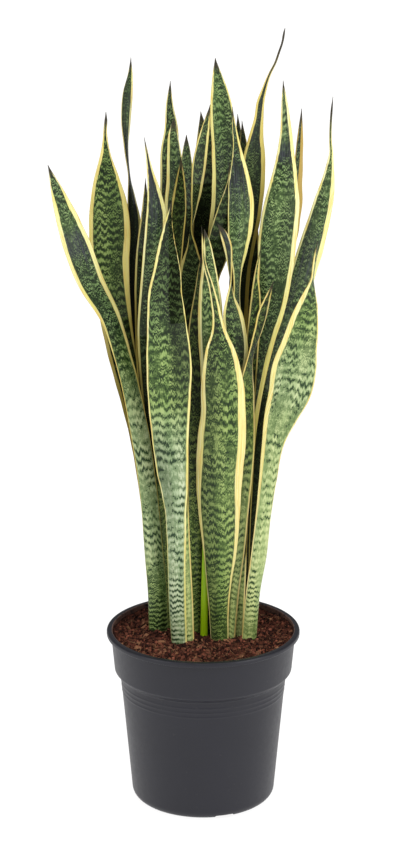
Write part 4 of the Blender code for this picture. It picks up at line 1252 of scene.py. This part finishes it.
# %% Size the pot, in millimetres
POT_HEIGHT = 220.0
RIM_RADIUS = 120.0
LIP_HEIGHT = 6.5
LIP_OVERHANG = 5.5
LIP_UNDER_ROUNDING = 1.6
LIP_TOP_ROUNDING = 2.6
RIM_INNER_BEVEL = 1.4
COLLAR_FOOT_RADIUS = 110.5
COLLAR_FOOT_HEIGHT = 170.0
STEP_RADIUS = 103.0
STEP_HEIGHT = 160.0
FOOT_RADIUS = 89.5
FOOT_ROUNDING = 11.5
WALL = 1.8
FLOOR = 3.0
RIB_HEIGHTS = (153.5, 147.5, 141.5)
RIB_PROUD = 0.45
RIB_HALF = 1.1
LIP_FOOT = POT_HEIGHT - LIP_HEIGHT
COLLAR_TOP_RADIUS = RIM_RADIUS - LIP_OVERHANG
RIM_INSIDE = COLLAR_TOP_RADIUS - WALL
FOOT_MIDDLE = FOOT_RADIUS - FOOT_ROUNDING
INNER_CORNER = (FOOT_MIDDLE, FLOOR + FOOT_ROUNDING - WALL)
print("width over the rim:", 2 * RIM_RADIUS, "and inside it:", round(2 * RIM_INSIDE, 1))

# %% [markdown]
# ## The wall's outline
#
# Rings and cones could be stacked for the wall, but their joints would show. One outline turned round
# the middle gives all of it at once, inside and outside. Where the wall bends quickly, at the ribs
# and the step, its rings lie close together, and on the plain tapers they can lie far apart.

# %% Draw the pot's outline and turn it
RIBBED_FROM, RIBBED_TO, RIBBED_STEP = 137, 174, 0.7
INSIDE_HEIGHTS = (200, 186, 173, 166, 158, 120, 80, 40, 16)
FLOOR_MIDDLE = 8
FLOOR_RINGS = 10
POT_PLACES = 160


def arc(centre, radius, start, end, steps):
    """Points (radius, height) on an arc from start to end degrees round centre."""
    angle = np.radians(np.linspace(start, end, steps + 1))
    return np.stack([centre[0] + radius * np.cos(angle), centre[1] + radius * np.sin(angle)], axis=1)


def outer_radius(height):
    """The wall's outside: two straight tapers joined by an S at the step, and a bell for each rib."""
    lower = np.interp(height, [FOOT_ROUNDING, STEP_HEIGHT], [FOOT_RADIUS, STEP_RADIUS])
    upper = np.interp(height, [COLLAR_FOOT_HEIGHT, LIP_FOOT], [COLLAR_FOOT_RADIUS, COLLAR_TOP_RADIUS])
    share = np.clip((height - STEP_HEIGHT) / (COLLAR_FOOT_HEIGHT - STEP_HEIGHT), 0, 1)
    share = share * share * (3 - 2 * share)
    ribs = sum(np.exp(-(((height - rib) / RIB_HALF) ** 2)) for rib in RIB_HEIGHTS)
    return lower + (upper - lower) * share + RIB_PROUD * ribs


def wall_heights():
    """Heights of the rings outside: wide apart on the tapers, close together on the ribs and step."""
    return np.concatenate([
        np.linspace(FOOT_ROUNDING + 2, RIBBED_FROM - 1, 16),
        np.arange(RIBBED_FROM, RIBBED_TO, RIBBED_STEP),
        np.linspace(RIBBED_TO + 1, LIP_FOOT, 8),
    ])


def pot_outline():
    """Once round the wall: floor, foot, outside, lip, bevel, inside, inner corner and inner floor."""
    outside = wall_heights()
    inside = np.array([LIP_FOOT, *INSIDE_HEIGHTS])
    across = np.linspace(FLOOR_MIDDLE, FOOT_MIDDLE - 1, FLOOR_RINGS)
    floor = np.stack([across, np.zeros(FLOOR_RINGS)], axis=1)
    lip_under = (RIM_RADIUS - LIP_UNDER_ROUNDING, LIP_FOOT + LIP_UNDER_ROUNDING)
    lip_top = (RIM_RADIUS - LIP_TOP_ROUNDING, POT_HEIGHT - LIP_TOP_ROUNDING)
    bevel = (RIM_INSIDE + RIM_INNER_BEVEL, POT_HEIGHT - RIM_INNER_BEVEL)
    return np.concatenate([
        floor,
        arc((FOOT_MIDDLE, FOOT_ROUNDING), FOOT_ROUNDING, -90, -4, 8),
        np.stack([outer_radius(outside), outside], axis=1),
        arc(lip_under, LIP_UNDER_ROUNDING, -80, 0, 5),
        arc(lip_top, LIP_TOP_ROUNDING, 10, 90, 7),
        arc(bevel, RIM_INNER_BEVEL, 90, 180, 4),
        np.stack([outer_radius(inside) - WALL, inside], axis=1),
        arc(INNER_CORNER, FOOT_ROUNDING - WALL, -8, -90, 6),
        floor[::-1] + [0, FLOOR],
    ])


def turn(name, outline, places):
    """Turns an outline of (radius, height) round the middle and closes both of its ends there."""
    angle = np.arange(places) * math.tau / places
    radius, height = outline[:, :1], outline[:, 1:]
    rings = [radius * np.cos(angle), radius * np.sin(angle), height + 0 * angle]
    return closed_tube(name, np.stack(rings, axis=-1))


print("points of the pot's outline:", len(pot_outline()))

# %% [markdown]
# ## Where the water runs out
#
# Four slots at the foot's edge and six round holes in the floor let the water out, as on the usual
# nursery pot. The mould leaves them free. Here each is a short bar that a Boolean takes away from the
# turned wall, which is simpler than weaving the rings of points round ten openings.

# %% Cut the slots and the drain holes
NOTCH_COUNT = 4
NOTCH_FIRST_ANGLE = -71.4
NOTCH_WIDTH = 25.0
NOTCH_HEIGHT = 4.5
NOTCH_DEPTH = 12.0
DRAIN_COUNT = 6
DRAIN_RADIUS = 5.0
DRAIN_CIRCLE = 48.0
DRAIN_PLACES = 32
DRAIN_CUT_FROM, DRAIN_CUT_TO = -6.0, 9.0
SMOOTH_ANGLE = math.radians(35)


def water_ways():
    """The outlines of the slots, as boxes turned round the middle, and of the holes, with heights."""
    corners = np.array([(-1, -1), (1, -1), (1, 1), (-1, 1)]) * [NOTCH_DEPTH, NOTCH_WIDTH / 2]
    for index in range(NOTCH_COUNT):
        angle = math.radians(NOTCH_FIRST_ANGLE + 360 / NOTCH_COUNT * index)
        cos, sin = math.cos(angle), math.sin(angle)
        placed = corners + [FOOT_RADIUS, 0]
        yield placed @ np.array([[cos, sin], [-sin, cos]]), -2 * NOTCH_HEIGHT, NOTCH_HEIGHT
    round_it = np.arange(DRAIN_PLACES) * math.tau / DRAIN_PLACES
    ring = DRAIN_RADIUS * np.stack([np.cos(round_it), np.sin(round_it)], axis=1)
    for index in range(DRAIN_COUNT):
        angle = math.tau * (index + 0.5) / DRAIN_COUNT
        middle = DRAIN_CIRCLE * np.array([math.cos(angle), math.sin(angle)])
        yield ring + middle, DRAIN_CUT_FROM, DRAIN_CUT_TO


def bar(outline, low, high):
    """A closed bar with that outline across, from low to high."""
    rings = [np.column_stack([outline, np.full(len(outline), height)]) for height in (low, high)]
    return closed_tube("bar", np.array(rings), smooth=False)


def cut_water_ways(mesh):
    """Takes every slot and hole away from the mesh and returns what is left."""
    body = bpy.data.objects.new("pot_blank", mesh)
    bpy.context.scene.collection.objects.link(body)
    cutters = []
    for outline, low, high in water_ways():
        cutter = bpy.data.objects.new("water_way", bar(outline, low, high))
        bpy.context.scene.collection.objects.link(cutter)
        cutters.append(cutter)
        take = body.modifiers.new("take_away", "BOOLEAN")
        take.operation, take.solver, take.object = "DIFFERENCE", "EXACT", cutter
    left = bpy.data.meshes.new_from_object(body.evaluated_get(bpy.context.evaluated_depsgraph_get()))
    for helper in [body, *cutters]:
        bpy.data.objects.remove(helper)
    left.shade_smooth()
    left.set_sharp_from_angle(angle=SMOOTH_ANGLE)
    return left


pot_mesh = cut_water_ways(turn("pot_wall", pot_outline(), POT_PLACES))
print("slots and holes:", len(list(water_ways())), "faces left:", len(pot_mesh.polygons))

# %% [markdown]
# ## Anthracite plastic
#
# Recycled plastic is a dark bluish grey with a satin skin. The mould leaves a faint orange peel, and
# handling leaves soft scuffs that catch the light. Peat dust clings to the inside of the wall. A flat
# grey would look like a drawing of a pot, so three sizes of noise give the clouds, scuffs and peel.

# %% Mix the plastic and make the pot
PLASTIC_DEEP = tone(22, 22, 31)
PLASTIC_LIGHT = tone(29, 29, 39)
SCUFFED = tone(78, 76, 76)
DUSTY = tone(112, 84, 74)


def mix_plastic():
    """Clouded dark grey, scuffed a little all over and dusty where the mesh says so."""
    mix = Recipe("anthracite_plastic", roughness=0.42, shine=0.42)
    spot = mix.spot()
    peel = mix.noise(spot, 1400, 2.0)
    cloud = mix.noise(spot, 14, 3.0)
    scuffs = mix.noise(spot, 160, 4.0, 0.65)
    grey = mix.blend(cloud, PLASTIC_DEEP, PLASTIC_LIGHT)
    grey = mix.blend(mix.times(mix.rise(scuffs, 0.62, 0.78), 0.25), grey, SCUFFED)
    dust = mix.times(mix.read("dust"), mix.rise(scuffs, 0.3, 0.55))
    grey = mix.blend(dust, grey, DUSTY)
    mix.relief(peel, 0.12, 0.0002)
    return mix.paint(grey, mix.straight(scuffs, 0.22, 0.33))


def dust_inside(mesh):
    """Writes 1 on the inside of the wall, where peat dust clings, and 0 on the rest."""
    x, y, z = read_points(mesh).T / MM
    write_on(mesh, "dust", (np.hypot(x, y) < outer_radius(z) - WALL / 2) & (z > 2 * FOOT_ROUNDING))


dust_inside(pot_mesh)
pot = piece_of("nursery_pot", pot_mesh, mix_plastic(), "pot")
print("pot faces:", len(pot.data.polygons))

# %% [markdown]
# ## How high the peat lies
#
# The peat fills the pot as a low mound that banks up at the wall, with a heap beside the leaves. Its
# skin is lumpy in two sizes. It could be sculpted by hand, but a few waves added up say it in one
# formula, and the same formula tells later where the loose bits come to lie.

# %% Say how high the peat lies
SOIL_FIT = 0.6
SOIL_MOUND = 3.5
SOIL_BANK = 12.0
SOIL_BANK_POWER = 5
HEAP_RISE = 8.0
HEAP_SPREAD = 34.0
HEAP_X = -62.0
HEAP_Y = 8.0
LUMPS = 1.3
LUMP_ACROSS, LUMP_BACK = 9.0, 11.0
LUMP_STARTS = (1.3, -0.4)
RIDGES = 0.6
RIDGE_ACROSS, RIDGE_BACK = 15.0, 6.0
CRUMBLE = 0.55
CRUMBLE_FROM, CRUMBLE_TO = 3.0, 13.0
WAVES = 48
BED_EDGE = RIM_INSIDE - SOIL_FIT
waves = chance.normal(0.0, 1.0, (WAVES, 2)) / chance.uniform(CRUMBLE_FROM, CRUMBLE_TO, (WAVES, 1))
starts = chance.uniform(0.0, math.tau, WAVES)


def bed_height(x, y):
    """Mound, bank and heap, then lumps and ridges from three waves and crumble from many."""
    share = np.hypot(x, y) / BED_EDGE
    shape = SOIL_MOUND * (1.0 - share**2) + SOIL_BANK * share**SOIL_BANK_POWER
    away = np.hypot(x - HEAP_X, y - HEAP_Y) / HEAP_SPREAD
    heap = HEAP_RISE * np.exp(-away * away) * (1.0 - share**2)
    lumps = np.sin(x / LUMP_ACROSS + LUMP_STARTS[0]) * np.cos(y / LUMP_BACK + LUMP_STARTS[1])
    ridges = RIDGES * np.sin(y / RIDGE_BACK + x / RIDGE_ACROSS)
    places = np.stack([x, y], axis=-1)
    crumble = np.sin(places @ waves.T + starts).sum(axis=-1) / math.sqrt(WAVES / 2)
    return SOIL_LEVEL + shape + heap + LUMPS * (lumps + ridges) + CRUMBLE * crumble


print("bed height in the middle:", round(float(bed_height(0.0, 0.0)), 1))

# %% [markdown]
# ## The bed of peat
#
# Potting soil is one body as far as the eye can tell, so its bed is one closed plug. It is turned
# round the middle as the pot's wall is, a hair smaller than the wall's inside, and only its top is
# then lifted to the height of the peat.

# %% Shape the bed
BED_RINGS = 70
BED_PLACES = 200
BED_MIDDLE = 1.5
UNDER_TOP = 0.5


def make_bed():
    """A turned plug that fits the pot's inside, whose flat top is then raised to the bed's height."""
    side = [
        (STEP_RADIUS - WALL - SOIL_FIT, STEP_HEIGHT),
        (COLLAR_FOOT_RADIUS - WALL - SOIL_FIT, COLLAR_FOOT_HEIGHT + 1),
    ]
    radii = np.linspace(BED_EDGE, BED_MIDDLE, BED_RINGS)
    top = np.stack([radii, np.full(BED_RINGS, SOIL_LEVEL)], axis=1)
    under = arc(INNER_CORNER, FOOT_ROUNDING - WALL - SOIL_FIT, -90, -8, 4)
    mesh = turn("soil_bed", np.concatenate([under, side, top]), BED_PLACES)
    points = read_points(mesh)
    above = points[:, 2] > (SOIL_LEVEL - UNDER_TOP) * MM
    x, y = points[above, 0] / MM, points[above, 1] / MM
    points[above, 2] = bed_height(x, y) * MM
    mesh.vertices.foreach_set("co", points.ravel())
    mesh.update()
    return mesh


bed_mesh = make_bed()
print("bed faces:", len(bed_mesh.polygons))

# %% [markdown]
# ## Loose bits on the bed
#
# What the eye takes for soil are the loose things on it: crumbs, chips of bark and straw-coloured
# fibres. Each is a small shape of a few faces, copied many times with its own size, turn and tone. A
# particle system would be the usual way, but its copies get lost when the model leaves Blender. So
# all the bits of a kind are one real mesh, which numpy writes in one go.

# %% Shape loose bits and lay them on the bed
FROM_WALL = 2.0


def lie_about(count, sizes, lift):
    """A place on the bed, a random turn and a size for each of count bits."""
    radius = (BED_EDGE - FROM_WALL) * np.sqrt(chance.uniform(0, 1, count))
    angle = chance.uniform(0, math.tau, count)
    x, y = radius * np.cos(angle), radius * np.sin(angle)
    spin = chance.normal(0, 1, (count, 4))
    spin /= np.linalg.norm(spin, axis=1)[:, None]
    size = np.exp(chance.uniform(*np.log(sizes), count))
    return np.stack([x, y, bed_height(x, y) + lift * size], axis=1), spin, size


def turned_by(spin, shape):
    """Each shape turned by its quaternion (w, v): p + 2w(v x p) + 2v x (v x p)."""
    w, v = spin[:, None, :1], spin[:, None, 1:]
    first = np.cross(v, shape)
    return shape + 2 * w * first + 2 * np.cross(v, first)


def many(name, shape, corners, places, tones):
    """One mesh of many small shapes, with a tone for all the points of each."""
    count, points = shape.shape[:2]
    faces = (np.arange(count)[:, None, None] * points + corners[None]).reshape(-1, corners.shape[1])
    mesh = bpy.data.meshes.new(name)
    mesh.from_pydata(((shape + places[:, None, :]) * MM).reshape(-1, 3).tolist(), [], faces.tolist())
    write_on(mesh, "tone", np.repeat(tones, points))
    return mesh


print("bits may lie as far out as:", round(BED_EDGE - FROM_WALL, 1))

# %% [markdown]
# ## Crumbs, chips and fibres
#
# A crumb of peat is a rough lump, so it starts as the twenty-sided solid, the roundest one with so
# few faces. A chip of bark is a flat box. A fibre is a thin thread, bent a little. Moving their
# corners at random is enough to make every one different, and they stay so small in the picture that
# more faces would be wasted.

# %% Shape a crumb, a chip and a fibre
CRUMB_PUSH = (0.6, 1.25)
CRUMB_SQUEEZE = (0.55, 1.0)
CHIP_HALVES = (0.5, 0.24, 0.1)
CHIP_PUSH = (0.6, 1.3)
FIBRE_RINGS, FIBRE_SIDES = 6, 3
FIBRE_THICK = (0.14, 0.34)
FIBRE_SWAY = 0.5
FIBRE_RISE = 0.3


def crumb_shapes(count, size):
    """Twenty-sided lumps: the golden-ratio solid with each corner pushed in or out."""
    gold = (1 + math.sqrt(5)) / 2
    base = [(-1, gold, 0), (1, gold, 0), (-1, -gold, 0), (1, -gold, 0), (0, -1, gold), (0, 1, gold)]
    base += [(0, -1, -gold), (0, 1, -gold), (gold, 0, -1), (gold, 0, 1), (-gold, 0, -1), (-gold, 0, 1)]
    base = np.array(base) / math.hypot(1, gold)
    corners = np.array([
        (0, 11, 5), (0, 5, 1), (0, 1, 7), (0, 7, 10), (0, 10, 11), (1, 5, 9), (5, 11, 4), (11, 10, 2),
        (10, 7, 6), (7, 1, 8), (3, 9, 4), (3, 4, 2), (3, 2, 6), (3, 6, 8), (3, 8, 9), (4, 9, 5),
        (2, 4, 11), (6, 2, 10), (8, 6, 7), (9, 8, 1),
    ])
    push = chance.uniform(*CRUMB_PUSH, (count, len(base), 1))
    squeeze = chance.uniform(*CRUMB_SQUEEZE, (count, 1, 3))
    return base[None] * push * squeeze * size[:, None, None] / 2, corners


def chip_shapes(count, size):
    """Slivers of bark: a box much longer than thick, with its eight corners moved at random."""
    base = np.array([(x, y, z) for x in (-1, 1) for y in (-1, 1) for z in (-1, 1)]) * CHIP_HALVES
    corners = np.array([(0, 1, 3, 2), (4, 6, 7, 5), (0, 4, 5, 1), (2, 3, 7, 6), (0, 2, 6, 4), (1, 5, 7, 3)])
    push = chance.uniform(*CHIP_PUSH, (count, len(base), 3))
    return base[None] * push * size[:, None, None], corners


def fibre_shapes(count, size):
    """Bent threads with three sides, thin at both ends: along each, the middle bends as a parabola."""
    share = np.linspace(-0.5, 0.5, FIBRE_RINGS)[None, :, None]
    side = np.arange(FIBRE_SIDES)[None, None, :] * math.tau / FIBRE_SIDES
    thick = chance.uniform(*FIBRE_THICK, (count, 1, 1)) * (1.05 - 1.4 * np.abs(share))
    sway = chance.normal(0, FIBRE_SWAY, (count, 1, 1)) * size[:, None, None]
    x = share * size[:, None, None] + 0 * side
    y = sway * share**2 + thick * np.cos(side)
    z = FIBRE_RISE * sway * share**2 + thick * np.sin(side)
    shape = np.stack([x, y, z], axis=-1).reshape(count, FIBRE_RINGS * FIBRE_SIDES, 3)
    tube = tube_faces(FIBRE_RINGS, FIBRE_SIDES)
    return shape, np.array([tube[:, [0, 1, 2]], tube[:, [0, 2, 3]]]).reshape(-1, 3)


print("points in a fibre:", FIBRE_RINGS * FIBRE_SIDES)

# %% [markdown]
# ## The colours of peat
#
# Dry peat is a light reddish brown, and damp peat nearly black. The bed gets both from noise in two
# sizes. A loose bit is too small for clouds of its own, so each carries one tone of its own instead,
# anywhere from the dark to the light colour of its kind. That is what makes soil look loose.

# %% Mix the peat and its bits
PEAT_DARK = tone(34, 17, 14)
PEAT_LIGHT = tone(112, 64, 48)
PEAT_DAMP = tone(28, 14, 12)


def mix_peat():
    """Light brown in dark brown by fine noise, with damp patches over both."""
    mix = Recipe("peat", roughness=0.95, shine=0.12)
    spot = mix.spot()
    crumble = mix.noise(spot, 420, 4.0, 0.7)
    damp = mix.noise(spot, 75, 2.0)
    brown = mix.blend(mix.rise(crumble, 0.35, 0.65), PEAT_DARK, PEAT_LIGHT)
    brown = mix.blend(mix.times(mix.rise(damp, 0.45, 0.6), 0.8), brown, PEAT_DAMP)
    mix.relief(crumble, 0.9, 0.0012)
    return mix.paint(brown)


def mix_bits(name, dark, light, roughness):
    """Bits that each have their own tone between a dark and a light one."""
    mix = Recipe(name, roughness=roughness, shine=0.15)
    grain = mix.noise(mix.spot(), 700, 3.0, 0.6)
    share = mix.sum(mix.read("tone"), mix.swing(grain, 0.18))
    mix.relief(grain, 0.7, 0.0006)
    return mix.paint(mix.blend(share, dark, light))


bed = piece_of("peat_bed", bed_mesh, mix_peat(), "soil")
crumb_finish = mix_bits("peat_crumbs", tone(26, 13, 11), tone(164, 98, 76), 0.95)
chip_finish = mix_bits("bark_chips", tone(84, 48, 36), tone(176, 126, 92), 0.8)
fibre_finish = mix_bits("peat_fibres", tone(74, 44, 32), tone(190, 148, 106), 0.75)
print("finishes of loose bits:", crumb_finish.name, chip_finish.name, fibre_finish.name)

# %% [markdown]
# ## Strewing the bits
#
# Real peat has far more small crumbs than large chips. So each kind has its count, its least and
# greatest size, how high it lies above the bed as a share of its size, and how freely it tumbles:
# crumbs lie any way up, while chips and fibres lie nearly flat. The two numbers called leaning make
# dark bits common and light ones rare.

# %% Strew the loose bits
Bits = namedtuple("Bits", "name count sizes lift tumble shapes leaning finish")
BITS = (
    Bits("soil_crumbs", 3200, (1.4, 6.5), 0.12, 1.0, crumb_shapes, (0.7, 1.7), crumb_finish),
    Bits("soil_chips", 260, (3.0, 9.0), 0.1, 0.35, chip_shapes, (1.5, 2.5), chip_finish),
    Bits("soil_fibres", 620, (5.0, 16.0), 0.06, 0.25, fibre_shapes, (1.3, 2.2), fibre_finish),
)


def strew(bits):
    """One piece of loose bits. It draws their tones, places, turns, sizes and shapes, in that order."""
    tones = chance.beta(*bits.leaning, bits.count)
    places, spin, size = lie_about(bits.count, bits.sizes, bits.lift)
    spin[:, 1:3] *= bits.tumble
    spin /= np.linalg.norm(spin, axis=1)[:, None]
    shape, corners = bits.shapes(bits.count, size)
    mesh = many(bits.name, turned_by(spin, shape), corners, places, tones)
    return piece_of(bits.name, mesh, bits.finish, None)


strewn = [strew(bits) for bits in BITS]
print("loose bits:", sum(bits.count for bits in BITS), "faces:", sum(len(s.data.polygons) for s in strewn))

# %% [markdown]
# ## A white sweep
#
# The plant stands on a roll of white paper that sweeps up behind it, as in a studio. The eye looks
# down on it, so a flat sheet that reaches far back gives the same picture. Painting the ground plain
# white would be simpler still, but the pot would lose the shadow at its foot.


# %% Lay the floor
FLOOR_CORNERS = ((-14, -8, 0), (14, -8, 0), (14, 26, 0), (-14, 26, 0))


def mix_sweep():
    """Nearly white paper with a faint cloud."""
    mix = Recipe("white_sweep", roughness=0.9, shine=0.1)
    fibre = mix.noise(mix.spot(), 30, 2.0)
    return mix.paint(mix.blend(fibre, tone(246, 245, 244), tone(250, 250, 250)))


def lay_floor():
    """The sweep, as one flat sheet that reaches far behind the plant."""
    mesh = bpy.data.meshes.new("floor")
    mesh.from_pydata(FLOOR_CORNERS, [], [(0, 1, 2, 3)])
    mesh.materials.append(mix_sweep())
    floor = bpy.data.objects.new("floor", mesh)
    bpy.context.scene.collection.objects.link(floor)
    return floor


floor = lay_floor()
print("floor in metres:", [round(side, 1) for side in floor.dimensions])

# %% [markdown]
# ## The room, and a lamp for the floor alone
#
# In a studio the sweep is lit apart from the plant until it burns out to plain white. Here a lamp of
# its own washes it from straight above, and light linking keeps that lamp off the plant. The room
# itself is white to the eye, but as a light it is kept low, or the leaves would have no dark side.


# %% Light the room and the floor
ROOM_SEEN = 1.0
ROOM_CAST = 0.3
FLOOR_WASH = 2.95


def fill_with_light(seen, cast):
    """A plain white room that looks as bright as seen but lights things only as much as cast."""
    world = bpy.data.worlds.new("white_room")
    world.use_nodes = True
    tree = world.node_tree
    air = tree.nodes["Background"]
    air.inputs["Color"].default_value = (1.0, 1.0, 1.0, 1.0)
    path = tree.nodes.new("ShaderNodeLightPath")
    level = tree.nodes.new("ShaderNodeMapRange")
    level.inputs["To Min"].default_value = cast
    level.inputs["To Max"].default_value = seen
    tree.links.new(path.outputs["Is Camera Ray"], level.inputs["Value"])
    tree.links.new(level.outputs[0], air.inputs["Strength"])
    bpy.context.scene.world = world


def wash_floor(floor, strength):
    """A lamp straight above that lights the floor alone, past the plant, so that it comes out white."""
    data = bpy.data.lights.new("floor_wash", "SUN")
    data.energy = strength
    lamp = bpy.data.objects.new("floor_wash", data)
    bpy.context.scene.collection.objects.link(lamp)
    only = bpy.data.collections.new("washed")
    only.objects.link(floor)
    lamp.light_linking.receiver_collection = only
    lamp.light_linking.blocker_collection = only


fill_with_light(seen=ROOM_SEEN, cast=ROOM_CAST)
wash_floor(floor, FLOOR_WASH)
print("the room casts", ROOM_CAST, "of the light that it shows")

# %% [markdown]
# ## Softboxes
#
# Waxy leaves show every lamp as a streak, so the lamps are big and soft: one on each side in front,
# the right one stronger, and one above. Small bare lamps would give hard edges and glare. The floor
# has its own light already, so these three are kept off it.


# %% Hang the softboxes
PLANT_MIDDLE = (0, 0, 0.55)
SIDE_SOFTBOX = (1.0, 2.0)
OVERHEAD_SOFTBOX = (2.0, 1.2)


def hang_lamp(name, place, towards, size, watts):
    """A softbox of that size in metres, turned so that it shines from its place towards a point."""
    data = bpy.data.lights.new(name, "AREA")
    data.shape = "RECTANGLE"
    data.size, data.size_y = size
    data.energy = watts
    lamp = bpy.data.objects.new(name, data)
    lamp.location = place
    aim = np.array(towards) - np.array(place)
    flat = math.hypot(aim[0], aim[1])
    lamp.rotation_euler = (math.atan2(flat, -aim[2]), 0, math.atan2(aim[1], aim[0]) - math.pi / 2)
    bpy.context.scene.collection.objects.link(lamp)
    return lamp


def spare_floor(lamps, floor):
    """Keeps the softboxes off the floor, which would otherwise throw too much light back up."""
    spared = bpy.data.collections.new("spared")
    spared.objects.link(floor)
    spared.collection_objects[0].light_linking.link_state = "EXCLUDE"
    for lamp in lamps:
        lamp.light_linking.receiver_collection = spared


lamps = [
    hang_lamp("right_softbox", (2.3, -1.5, 1.4), PLANT_MIDDLE, SIDE_SOFTBOX, 43),
    hang_lamp("left_softbox", (-2.3, -1.5, 1.4), PLANT_MIDDLE, SIDE_SOFTBOX, 28),
    hang_lamp("overhead", (0, -1.6, 2.9), PLANT_MIDDLE, OVERHEAD_SOFTBOX, 22),
]
spare_floor(lamps, floor)
bpy.context.scene.view_settings.view_transform = "Standard"

# %% [markdown]
# ## Everything stands
#
# The finer pieces have to keep to the packed box, apart from a hair.
